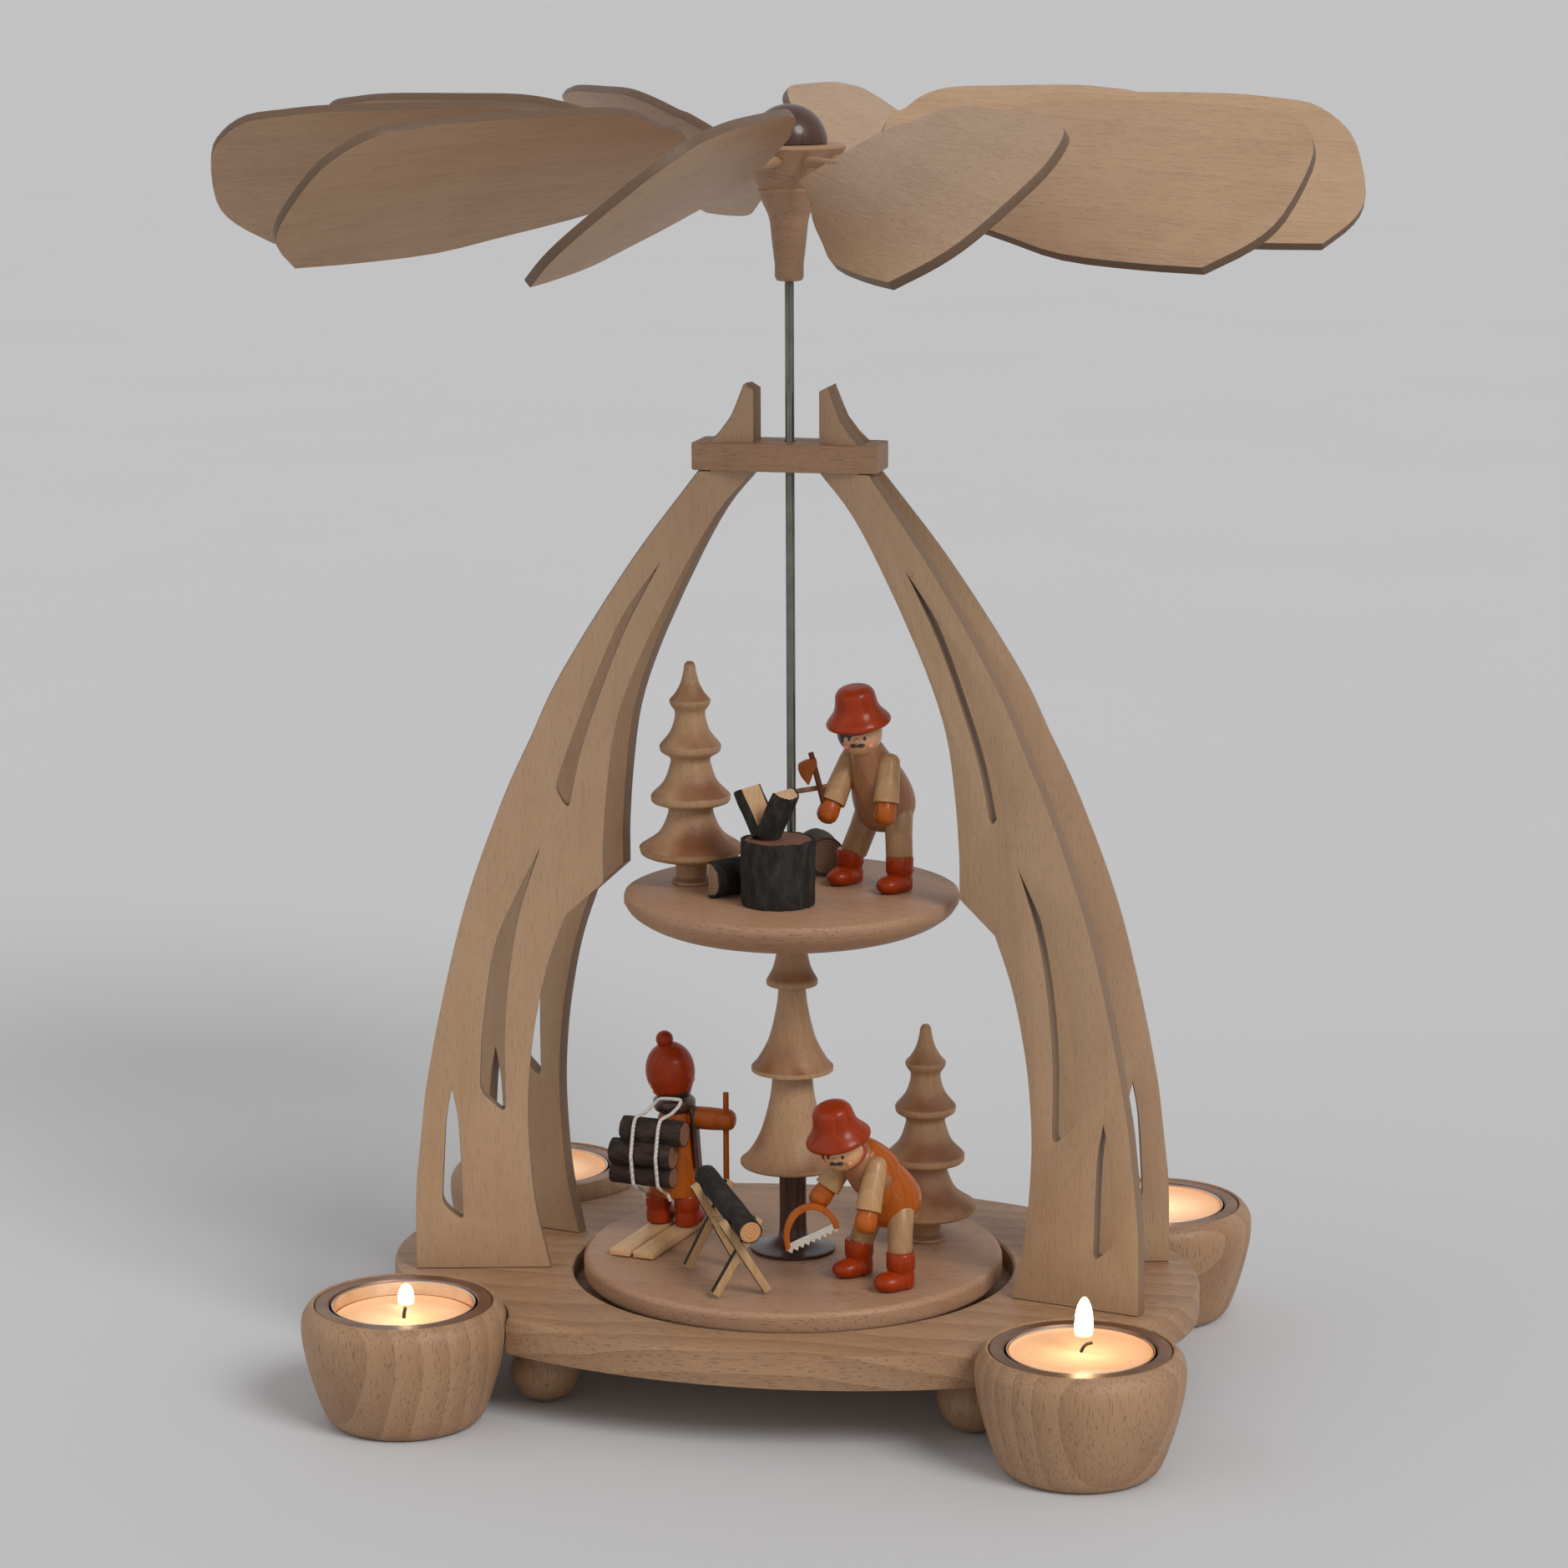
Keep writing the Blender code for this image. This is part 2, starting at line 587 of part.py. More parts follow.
def leg_outline():
    """A leg in its own plane: distance from the rotor axis and height above the plate."""
    outer = smooth_run(scaled(leg_outer_shares, LEG_REACH, LEG_RISE), 2)
    shoulder = smooth_run(scaled(leg_upper_shares, LEG_REACH, LEG_RISE), 2)
    lower = smooth_run(scaled(leg_lower_shares, LEG_REACH, LEG_RISE), 2)
    bar_top = LEG_RISE + BAR_THICKNESS
    tip_top = bar_top + TIP_RISE * 0.68
    tip = [
        (TENON_OUTER, LEG_RISE), (TENON_OUTER, bar_top), (TENON_OUTER - TIP_WIDTH, bar_top + TIP_WIDTH),
        (TENON_INNER + 2 * TIP_WIDTH, bar_top + TIP_RISE * 0.42), (TENON_INNER + TIP_WIDTH, tip_top),
        (TENON_INNER, tip_top - TIP_WIDTH / 2), (TENON_INNER, LEG_RISE),
    ]
    return outer + tip + shoulder[1:] + lower


def build_legs():
    """Four equal boards and the bar that their tips pass through."""
    holes = [scaled(slot, LEG_REACH, LEG_RISE) for slot in slot_shares]
    mesh = slab_mesh("leg", leg_outline(), LEG_THICKNESS, holes)
    mesh.transform(Matrix.Rotation(TURN / 4, 4, "X"))
    headings = {
        "fl": TURN / 2 + LEG_ANGLE, "fr": -LEG_ANGLE, "rl": TURN / 2 - LEG_ANGLE, "rr": LEG_ANGLE,
    }
    for corner, heading in headings.items():
        leg = place(f"leg_{corner}", mesh, MAPLE)
        put(leg, (0, 0, PLATE_TOP + SEAT_GAP), heading)

    half = BAR_LENGTH / 2
    bow = [
        (half * share, BAR_END_DEPTH / 2 + (BAR_DEPTH - BAR_END_DEPTH) / 2 * (1 - share * share))
        for share in (1, 0.75, 0.5, 0.25, 0, -0.25, -0.5, -0.75, -1)
    ]
    outline = bow + [(x, -y) for x, y in reversed(bow)]
    thickness = BAR_THICKNESS - SEAT_GAP
    bar = place("top_bar", slab_mesh("top_bar", outline, thickness), BEECH)
    put(bar, (0, 0, BAR_BOTTOM + 2 * SEAT_GAP + thickness / 2))
    slots = []
    tenon_middle = (TENON_INNER + TENON_OUTER) / 2
    tenon_sides = (
        TENON_OUTER - TENON_INNER + 2 * SIDE_GAP, LEG_THICKNESS + 2 * SIDE_GAP, 2 * BAR_THICKNESS,
    )
    for corner, heading in headings.items():
        slot = box_mesh("slot", (tenon_middle, 0, 0), tenon_sides)
        cutter = place(f"slot_cutter_{corner}", slot, None, CUTTERS)
        put(cutter, (0, 0, BAR_BOTTOM + BAR_THICKNESS / 2), heading)
        slots.append(cutter)
    low = (0, 0, BAR_BOTTOM - BAR_THICKNESS)
    high = (0, 0, BAR_BOTTOM + 2 * BAR_THICKNESS)
    bore = place("bar_bore_cutter", rod_mesh("bore", low, high, SHAFT_BORE, sides=12), None, CUTTERS)
    combine(bar, [*slots, bore], "DIFFERENCE")


def build_tealights():
    """Four standard tealights: an aluminium shell and the wax with its wick."""
    shell_floor = SHELL_BOTTOM + SHELL_WALL
    shell_bore = TEALIGHT_RADIUS - SHELL_WALL
    shell_top = SHELL_BOTTOM + TEALIGHT_HEIGHT
    shell_profile = [
        (0, shell_floor), (shell_bore, shell_floor), (shell_bore, shell_top),
        (TEALIGHT_RADIUS, shell_top), (TEALIGHT_RADIUS, SHELL_BOTTOM), (0, SHELL_BOTTOM),
    ]
    wax_bottom = shell_floor + SEAT_GAP
    wax_top = wax_bottom + WAX_DEPTH
    wax_radius = shell_bore - RUN_GAP
    wax_profile = [
        (0, wax_top + WICK_LENGTH), (WICK_RADIUS / 2, wax_top + WICK_LENGTH), (WICK_RADIUS, wax_top),
        (wax_radius - WAX_LIP, wax_top), (wax_radius, wax_top + WAX_LIP), (wax_radius, wax_bottom), (0, wax_bottom),
    ]
    for corner, (side, depth) in CORNERS.items():
        shell = turned(f"tealight_shell_{corner}", shell_profile, ALUMINIUM, 20)
        put(shell, (side * CUP_X, depth * CUP_Y, 0))
        wax = turned(f"tealight_wax_{corner}", wax_profile, WAX, 18)
        put(wax, (side * CUP_X, depth * CUP_Y, 0))


def build_spindle(rotor):
    """Shaft, hub, knob, the two discs and the tall tree between them."""
    shaft_profile = [
        (0, SHAFT_TOP), (SHAFT_RADIUS, SHAFT_TOP), (SHAFT_RADIUS, SHAFT_BOTTOM + SHAFT_POINT),
        (SHAFT_RADIUS / 4, SHAFT_BOTTOM), (0, SHAFT_BOTTOM),
    ]
    put(turned("shaft", shaft_profile, STEEL, 12), (0, 0, 0), parent=rotor)

    hub_bore = SHAFT_RADIUS + SEAT_GAP
    hub_profile = [
        (0, HUB_BOTTOM + HUB_HEIGHT), *scaled(hub_shares, HUB_RADIUS, HUB_HEIGHT, HUB_BOTTOM),
        (hub_bore, HUB_BOTTOM), (hub_bore, HUB_BOTTOM + HUB_BORE_DEPTH), (0, HUB_BOTTOM + HUB_BORE_DEPTH),
    ]
    hub = put(turned("hub", hub_profile, BEECH, 20), (0, 0, 0), parent=rotor)
    bores = []
    for i in range(BLADE_COUNT):
        heading = BLADE_FIRST + TURN * i / BLADE_COUNT
        inner = PEG_INNER - RUN_GAP
        mesh = rod_mesh("peg_bore", (inner, 0, 0), (PEG_OUTER, 0, 0), PEG_RADIUS + SEAT_GAP, sides=8)
        bore = place(f"peg_bore_cutter_{i}", mesh, None, CUTTERS)
        bores.append(put(bore, (0, 0, PEG_HEIGHT), heading))
    combine(hub, bores, "DIFFERENCE")

    knob_base = HUB_BOTTOM + HUB_HEIGHT + SEAT_GAP
    dome = [
        (KNOB_RADIUS * math.sin(TURN / 4 * i / 6), knob_base + KNOB_RADIUS * math.cos(TURN / 4 * i / 6))
        for i in range(7)
    ]
    put(turned("knob", [*dome, (0, knob_base)], WALNUT, 18), (0, 0, 0), parent=rotor)

    low = LOWER_DISC_TOP - LOWER_DISC_THICKNESS
    lower_profile = [
        (SHAFT_BORE, LOWER_DISC_TOP), (LOWER_DISC_RADIUS - DISC_EDGE, LOWER_DISC_TOP),
        (LOWER_DISC_RADIUS, LOWER_DISC_TOP - DISC_EDGE), (LOWER_DISC_RADIUS, low + DISC_EDGE),
        (LOWER_DISC_RADIUS - DISC_EDGE, low), (SHAFT_BORE, low),
    ]
    put(turned("lower_disc", lower_profile, BEECH, 40, True), (0, 0, 0), parent=rotor)
    base = UPPER_DISC_TOP - UPPER_DISC_THICKNESS
    upper_profile = [
        (SHAFT_BORE, UPPER_DISC_TOP), (UPPER_DISC_RADIUS - DISC_EDGE, UPPER_DISC_TOP),
        (UPPER_DISC_RADIUS, UPPER_DISC_TOP - DISC_EDGE),
        *scaled(lens_shares, UPPER_DISC_RADIUS, UPPER_DISC_THICKNESS, base), (SHAFT_BORE, base),
    ]
    put(turned("upper_disc", upper_profile, BEECH, 36, True), (0, 0, 0), parent=rotor)

    trunk_base = LOWER_DISC_TOP + SEAT_GAP
    trunk = [(SHAFT_BORE, trunk_base + TRUNK_HEIGHT)]
    trunk += scaled(trunk_shares, TRUNK_FOOT_RADIUS, TRUNK_HEIGHT, trunk_base)
    put(turned("tree_trunk", [*trunk, (SHAFT_BORE, trunk_base)], WALNUT, 16, True), (0, 0, 0), parent=rotor)
    crown_base = trunk_base + TRUNK_HEIGHT + SEAT_GAP
    crown_height = base - SEAT_GAP - crown_base
    crown = [(SHAFT_BORE, crown_base + crown_height)]
    crown += scaled(crown_shares, CROWN_RADIUS, crown_height, crown_base)
    put(turned("tree_crown", [*crown, (SHAFT_BORE, crown_base)], BEECH, 18, True), (0, 0, 0), parent=rotor)


def build_blades(rotor):
    """Ten thin blades, each on a round peg that can be turned in the hub."""
    outline = scaled(blade_shares, BLADE_REACH, BLADE_WIDTH)
    for i in range(BLADE_COUNT):
        heading = BLADE_FIRST + TURN * i / BLADE_COUNT
        tilt = Matrix.Rotation(BLADE_PITCH, 4, "X")
        leaf = slab_mesh("leaf", outline, BLADE_THICKNESS)
        leaf.transform(tilt)
        peg = rod_mesh("peg", (PEG_INNER, 0, 0), (PEG_OUTER, 0, 0), PEG_RADIUS, sides=8)
        blade = place(f"blade_{i + 1:02d}", leaf, MAPLE)
        helper = place(f"blade_peg_{i + 1:02d}", peg, None, CUTTERS)
        combine(blade, [helper], "UNION")
        put(blade, (0, 0, PEG_HEIGHT), heading, rotor)
        put(helper, (0, 0, PEG_HEIGHT), heading)


def build_trees(rotor):
    """The same turned tree on each disc."""
    profile = [(0, TREE_HEIGHT), *scaled(tree_shares, TREE_RADIUS, TREE_HEIGHT), (0, 0)]
    upper = turned("turned_tree_upper", profile, BEECH, 16)
    put(upper, (*UPPER_TREE_PLACE, UPPER_DISC_TOP + SEAT_GAP), parent=rotor)
    lower = turned("turned_tree_lower", profile, BEECH, 16)
    put(lower, (*LOWER_TREE_PLACE, LOWER_DISC_TOP + SEAT_GAP), parent=rotor)


def half_round(radius, count=8):
    """The outline of a log split along its middle, the flat side on +X."""
    return arc((0, 0), radius, TURN / 4, 3 * TURN / 4, count)


def build_firewood(rotor):
    """Chopping block with the log split on it, and two logs on the ground."""
    stage = UPPER_DISC_TOP + SEAT_GAP
    block_top = stage + BLOCK_HEIGHT
    block = rod_mesh(
        "chopping_block", (*BLOCK_PLACE, stage), (*BLOCK_PLACE, block_top), BLOCK_RADIUS, sides=16
    )
    place("chopping_block", block, BARK).parent = rotor

    lift = SPLIT_RADIUS * math.sin(SPLIT_LEAN) + SPLIT_LENGTH / 2 * math.cos(SPLIT_LEAN)
    apart = SPLIT_LENGTH / 2 * math.sin(SPLIT_LEAN) - SPLIT_OVERLAP
    halves = []
    for side in (1, -1):
        half = slab_mesh("half", half_round(SPLIT_RADIUS), SPLIT_LENGTH)
        if side < 0:
            half.transform(Matrix.Rotation(TURN / 2, 4, "Z"))
        half.transform(Matrix.Rotation(-side * SPLIT_LEAN, 4, "Y"))
        half.transform(Matrix.Translation((-side * apart, side * SPLIT_OVERLAP / 2, lift)))
        half.transform(Matrix.Rotation(WOODCUTTER_HEADING / 8, 4, "Z"))
        halves.append(half)
    log = joined("split_log", halves, BARK)
    put(log, (BLOCK_PLACE[0] - SPLIT_SHIFT, BLOCK_PLACE[1], block_top + SEAT_GAP), parent=rotor)
    bpy.data.objects["split_log_shape_0"].location = log.location

    half = slab_mesh("half_log", half_round(HALF_LOG_RADIUS), HALF_LOG_LENGTH)
    half.transform(Matrix.Rotation(TURN / 4, 4, "X"))
    half.transform(Matrix.Rotation(TURN * 0.4, 4, "Z"))
    put(place("half_log", half, BARK), (*HALF_LOG_PLACE, stage + HALF_LOG_RADIUS), parent=rotor)

    start = (0, -ROUND_LOG_LENGTH / 2, 0)
    end = (0, ROUND_LOG_LENGTH / 2, 0)
    whole = rod_mesh("round_log", start, end, ROUND_LOG_RADIUS, sides=12)
    log = place("round_log", whole, BARK)
    put(log, (*ROUND_LOG_PLACE, stage + ROUND_LOG_RADIUS), TURN / 14, rotor)


class Doll:
    """A small turned figure: forward, left and up are shares of the doll's height."""

    def __init__(self, name, spot, heading, stage, rotor):
        self.name = name
        self.spot = (*spot, stage + SEAT_GAP)
        self.heading = heading
        self.rotor = rotor
        self.shapes = []
        self.cuts = []

    def at(self, spot):
        return Vector(spot) * DOLL_HEIGHT

    def ball(self, centre, radii, segments=10, rings=7):
        radii = [share * DOLL_HEIGHT for share in radii]
        self.shapes.append(ball_mesh("ball", self.at(centre), radii, segments, rings))

    def limb(self, start, end, radius, end_radius, sides=10):
        mesh = rod_mesh(
            "limb", self.at(start), self.at(end), radius * DOLL_HEIGHT, end_radius * DOLL_HEIGHT, sides
        )
        self.shapes.append(mesh)

    def arm(self, shoulder, wrist):
        """A sleeve that widens to the cuff, with a rounded hand."""
        self.ball(shoulder, (0.056, 0.056, 0.056), 8, 6)
        self.limb(shoulder, wrist, 0.055, 0.07)
        reach = (Vector(wrist) - Vector(shoulder)).normalized()
        self.limb(Vector(wrist) - reach * 0.03, Vector(wrist) + reach * 0.07, 0.052, 0.056, 8)
        self.ball(Vector(wrist) + reach * 0.064, (0.056, 0.056, 0.056), 10, 6)
        return Vector(wrist) + reach * 0.06

    def leg(self, ankle, hip):
        """A straight leg that thickens to the hip."""
        self.limb(ankle, hip, 0.064, 0.072)

    def boot(self, foot, rise=0.0):
        """A rounded toe, flat underneath, and a short round shaft."""
        forward, left = foot
        centre = self.at((forward + 0.034, left, rise + 0.04))
        radii = self.at((0.12, 0.078, 0.058))
        self.shapes.append(ball_mesh("toe", centre, radii, 12, 8, rise * DOLL_HEIGHT))
        self.limb((forward - 0.016, left, rise + 0.02), (forward - 0.016, left, rise + 0.184), 0.074, 0.074)

    def finish(self, colour):
        made = joined(self.name, self.shapes, colour, self.cuts)
        put(made, self.spot, self.heading, self.rotor)
        for helper in CUTTERS.objects:
            if helper.name.startswith((f"{self.name}_shape", f"{self.name}_cutter")):
                put(helper, self.spot, self.heading)
        return made

    def hat(self, crown, lean, colour):
        """A bell hat whose flat underside meets the cut head."""
        tilt = Matrix.Translation(self.at(crown)) @ Matrix.Rotation(lean, 4, "Y")
        profile = [(0, HAT_HEIGHT), *scaled(hat_shares, HAT_RADIUS, HAT_HEIGHT), (0, 0)]
        made = turned(f"{self.name}_hat", profile, colour, 14)
        base = Matrix.Translation(self.spot) @ Matrix.Rotation(self.heading, 4, "Z")
        made.parent = self.rotor
        made.matrix_local = base @ tilt
        seat = rod_mesh("seat", (0, 0, -SEAT_GAP), (0, 0, HAT_HEIGHT), HAT_RADIUS, sides=12)
        seat.transform(tilt)
        self.cuts.append(seat)


def build_woodcutter(rotor):
    """The doll with the axe, bent over the chopping block."""
    doll = Doll("woodcutter", WOODCUTTER_PLACE, WOODCUTTER_HEADING, UPPER_DISC_TOP, rotor)
    doll.ball((-0.104, 0, 0.462), (0.166, 0.166, 0.17), 14, 9)
    doll.limb((-0.084, 0, 0.5), (0.06, 0, 0.77), 0.16, 0.09, 14)
    doll.ball((0.108, 0, 0.852), (0.116, 0.116, 0.118), 12, 8)
    for side in (-1, 1):
        doll.leg((-0.028, side * 0.158, 0.152), (-0.112, side * 0.084, 0.43))
        doll.boot((0.0, side * 0.168))
    grip = doll.arm((0.016, -0.126, 0.712), (0.164, -0.148, 0.468))
    doll.arm((0.016, 0.126, 0.712), (0.088, 0.156, 0.488))
    doll.limb((0.12, -0.136, 0.56), (0.33, -0.384, 0.51), 0.016, 0.016, 8)
    doll.hat((0.122, 0, 0.904), math.radians(12), STAINED_ORANGE)

    facing = Matrix.Rotation(TOOL_HEADING - WOODCUTTER_HEADING, 4, "Z") @ Matrix.Rotation(TURN / 4, 4, "X")
    held = Matrix.Translation(doll.at(grip)) @ facing
    start, end = [Vector((*spot, 0)) * AXE_LENGTH for spot in axe_handle_shares]
    handle = rod_mesh("axe", start, end, AXE_HANDLE_RADIUS, sides=8)
    head = slab_mesh("axe_head", scaled(axe_head_shares, AXE_LENGTH, AXE_LENGTH), AXE_THICKNESS)
    hole = rod_mesh("grip", start - (end - start) / 2, end, AXE_HANDLE_RADIUS + SEAT_GAP, sides=8)
    for mesh in (handle, head, hole):
        mesh.transform(held)
    doll.cuts.append(hole)
    doll.finish(BEECH)
    axe = joined("axe", [handle, head], STAINED_ORANGE)
    put(axe, doll.spot, doll.heading, rotor)
    put(bpy.data.objects["axe_shape_0"], doll.spot, doll.heading)


def build_sawyer(rotor):
    """The doll with the bow saw, bent down to the sawhorse."""
    doll = Doll("sawyer", SAWYER_PLACE, SAWYER_HEADING, LOWER_DISC_TOP, rotor)
    doll.ball((-0.092, 0, 0.46), (0.156, 0.16, 0.156), 14, 9)
    doll.limb((-0.07, 0, 0.5), (0.17, 0, 0.73), 0.15, 0.095, 14)
    doll.ball((0.14, 0, 0.69), (0.1, 0.115, 0.09), 10, 7)
    doll.ball((0.252, 0, 0.772), (0.112, 0.112, 0.114), 12, 8)
    for side in (-1, 1):
        doll.leg((-0.018, side * 0.156, 0.152), (-0.088, side * 0.084, 0.43))
        doll.boot((0.0, side * 0.164))
    doll.arm((0.108, -0.104, 0.692), (0.228, -0.148, 0.524))
    doll.arm((0.108, 0.112, 0.692), (0.208, 0.152, 0.456))
    doll.hat((0.274, 0, 0.824), math.radians(17), STAINED_ORANGE)
    doll.finish(COAT_ORANGE)

    outline = scaled(bow_outer_shares, SAW_WIDTH, SAW_WIDTH)
    teeth = 6
    first = Vector(bow_outer_shares[-1]) * SAW_WIDTH
    last = Vector(bow_outer_shares[0]) * SAW_WIDTH
    step = (last - first) / teeth
    out = Vector((step.y, -step.x)) * -0.3
    notches = []
    for tooth in range(teeth):
        notches.append(tuple(first + step * (tooth + 0.5) + out))
        if tooth < teeth - 1:
            notches.append(tuple(first + step * (tooth + 1)))
    bow = [tuple(spot) for spot in outline] + notches
    window = scaled(bow_inner_shares, SAW_WIDTH, SAW_WIDTH)
    mesh = slab_mesh("bow_saw", bow, SAW_THICKNESS, [window])
    mesh.transform(Matrix.Rotation(TURN / 4, 4, "X"))
    mesh.transform(Matrix.Rotation(TOOL_HEADING - SAWYER_HEADING, 4, "Z"))
    mesh.transform(Matrix.Translation(doll.at((0.352, -0.132, 0.298))))
    put(place("bow_saw", mesh, COAT_ORANGE), doll.spot, doll.heading, rotor)


def build_sawhorse(rotor):
    """Two crossed pairs of timbers, a stretcher and the log that lies on them."""
    stage = LOWER_DISC_TOP + SEAT_GAP
    near = Vector((*SAWHORSE_NEAR, 0))
    far = Vector((*SAWHORSE_FAR, 0))
    along = (near - far).normalized()
    across = Vector((-along.y, along.x, 0))
    up = Vector((0, 0, 1))
    foot_lift = SAWHORSE_TIMBER * 0.5
    beams = []
    crossings = []
    for middle, height in ((near, SAWHORSE_NEAR_CROSSING), (far, SAWHORSE_FAR_CROSSING)):
        crossing = middle + up * height
        crossings.append(crossing)
        for side in (-1, 1):
            shift = along * (side * SAWHORSE_TIMBER * 0.2)
            foot = middle + across * (side * SAWHORSE_SPREAD / 2) + up * foot_lift
            top = crossing + (crossing - foot) * 0.72
            beams.append(beam_mesh("beam", foot + shift, top + shift, SAWHORSE_TIMBER))
    beams.insert(1, beam_mesh("stretcher", crossings[0], crossings[1], SAWHORSE_TIMBER * 0.8))
    horse = joined("sawhorse", beams, MAPLE)
    put(horse, (0, 0, stage), parent=rotor)
    for helper in CUTTERS.objects:
        if helper.name.startswith("sawhorse_shape"):
            put(helper, (0, 0, stage))

    rest = []
    for middle, crossing in zip((near, far), crossings):
        slope = math.atan2(crossing.z - foot_lift, SAWHORSE_SPREAD / 2)
        lift = (SAWN_LOG_RADIUS + SAWHORSE_TIMBER / 2 + SEAT_GAP) / math.cos(slope)
        rest.append(crossing + up * lift)
    run = (rest[0] - rest[1]).normalized()
    start = rest[1] - run * SAWN_LOG_FAR_END
    end = rest[0] + run * SAWN_LOG_NEAR_END
    log = place("sawn_log", rod_mesh("sawn_log", start, end, SAWN_LOG_RADIUS, sides=12), BARK)
    put(log, (0, 0, stage), parent=rotor)


def build_walker(rotor):
    """The doll on skis, with a stick and a bundle of logs tied on its back."""
    doll = Doll("walker", WALKER_PLACE, WALKER_HEADING, LOWER_DISC_TOP, rotor)
    doll.limb((0, 0, 0.2), (0, -0.01, 0.66), 0.14, 0.098, 14)
    doll.ball((0, -0.01, 0.65), (0.1, 0.115, 0.08), 12, 7)
    doll.ball((0.01, 0.0, 0.72), (0.115, 0.115, 0.06), 12, 6)
    doll.ball((0.008, 0.022, 0.89), (0.135, 0.135, 0.17), 14, 9)
    doll.ball((-0.008, 0.048, 1.08), (0.048, 0.048, 0.048), 8, 6)
    for side in (-1, 1):
        doll.limb((-0.01, side * 0.076, 0.1), (-0.01, side * 0.076, 0.3), 0.056, 0.056)
        doll.boot((-0.006, side * 0.086), 0.036)
        ski = box_mesh("ski", doll.at((-0.2, side * 0.07, 0.02)), doll.at((0.76, 0.12, 0.04)))
        doll.shapes.append(ski)
    doll.limb((0.0, -0.07, 0.65), (0.035, -0.29, 0.645), 0.06, 0.056)
    doll.ball((0.042, -0.3, 0.644), (0.06, 0.06, 0.06), 10, 6)
    doll.limb((0.04, -0.296, 0.004), (0.04, -0.296, 0.8), 0.017, 0.017, 8)
    doll.finish(COAT_ORANGE)

    half = BUNDLE_LOG_LENGTH / DOLL_HEIGHT / 2
    logs = []
    for behind, left, up, thick in bundle_shares:
        start = doll.at((behind, left - half, up))
        end = doll.at((behind, left + half, up))
        logs.append(rod_mesh("log", start, end, BUNDLE_LOG_RADIUS * thick, sides=10))
    bundle = joined("log_bundle", logs, BARK)
    put(bundle, doll.spot, doll.heading, rotor)
    for helper in CUTTERS.objects:
        if helper.name.startswith("log_bundle_shape"):
            put(helper, doll.spot, doll.heading)

    # the cord runs down over the logs, round the neck and down again
    sides = []
    turns_share = ((70, 40, 5), (25, 0, -20), (0, -35, -75))
    for cord_left in (-0.024, 0.124):
        down = [(-0.148, cord_left * 0.8, 0.755), (-0.17, cord_left, 0.705)]
        for (behind, _, up, thick), turns in zip(bundle_shares, turns_share):
            clear = (BUNDLE_LOG_RADIUS * thick + CORD_RADIUS + RUN_GAP * 1.5) / DOLL_HEIGHT
            for degrees in turns:
                turn = math.radians(degrees)
                down.append((behind - clear * math.cos(turn), cord_left, up + clear * math.sin(turn)))
        sides.append(down)
    neck = [(-0.128, 0.005, 0.775), (-0.13, 0.045, 0.78), (-0.128, 0.085, 0.775)]
    route = [*reversed(sides[0]), *neck, *sides[1]]
    cord = tube_mesh("bundle_cord", [doll.at(spot) for spot in route], CORD_RADIUS)
    put(place("bundle_cord", cord, CORD), doll.spot, doll.heading, rotor)


def build_rotor():
    """Everything that turns about the vertical axis."""
    rotor = bpy.data.objects.new("rotor_axis", None)
    PARTS.objects.link(rotor)
    build_spindle(rotor)
    build_blades(rotor)
    build_trees(rotor)
    build_firewood(rotor)
    build_woodcutter(rotor)
    build_sawyer(rotor)
    build_sawhorse(rotor)
    build_walker(rotor)


build_base()
build_legs()
build_tealights()
build_rotor()
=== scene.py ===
"""Looks of the candle carousel: turned beech, sawn maple, stained dolls and four lit tealights.

Lengths in the classes are in millimetres and turn into metres when a piece is put together.
"""

import json
import logging
import math
from collections.abc import Iterable, Sequence
from dataclasses import dataclass
from enum import Enum
from typing import Union

import bmesh
import bpy
from mathutils import Matrix, Vector, noise

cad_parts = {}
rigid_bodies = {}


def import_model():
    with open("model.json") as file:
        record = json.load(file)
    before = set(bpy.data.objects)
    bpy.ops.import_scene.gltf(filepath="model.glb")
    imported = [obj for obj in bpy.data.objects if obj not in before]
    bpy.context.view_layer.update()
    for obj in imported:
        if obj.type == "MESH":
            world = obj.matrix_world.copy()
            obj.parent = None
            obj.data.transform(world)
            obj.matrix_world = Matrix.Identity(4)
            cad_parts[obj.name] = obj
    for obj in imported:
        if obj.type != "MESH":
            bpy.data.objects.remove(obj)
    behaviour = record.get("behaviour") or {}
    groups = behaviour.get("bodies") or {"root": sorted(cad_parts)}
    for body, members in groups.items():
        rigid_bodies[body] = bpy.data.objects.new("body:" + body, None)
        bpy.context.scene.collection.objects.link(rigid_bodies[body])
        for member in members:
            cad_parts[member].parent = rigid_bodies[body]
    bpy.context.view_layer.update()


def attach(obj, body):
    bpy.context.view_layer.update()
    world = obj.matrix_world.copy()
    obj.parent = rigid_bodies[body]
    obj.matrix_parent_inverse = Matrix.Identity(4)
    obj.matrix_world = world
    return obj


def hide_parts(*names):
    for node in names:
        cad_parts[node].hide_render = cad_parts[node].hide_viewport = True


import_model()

MM = 0.001
TURN = 2 * math.pi
FRONT = math.radians(13.06)  # how far the front is turned about the vertical
CORNERS = {"fl": (-1, -1), "fr": (1, -1), "rl": (-1, 1), "rr": (1, 1)}
LAID = Matrix.Rotation(TURN / 4, 4, "X")
CUP_SPOT = (90.0, 66.0)
LOWER = 32.6  # the top of the lower stage
UPPER = 132.8  # the top of the upper stage
GAP = 0.2  # the clearance between two pieces
Colour = tuple[float, float, float]
Spot = Sequence[float]
Term = Union["Value", float, Sequence[float]]
Dressed = tuple[bpy.types.Mesh, "Finish"]
log = logging.getLogger("candle carousel")


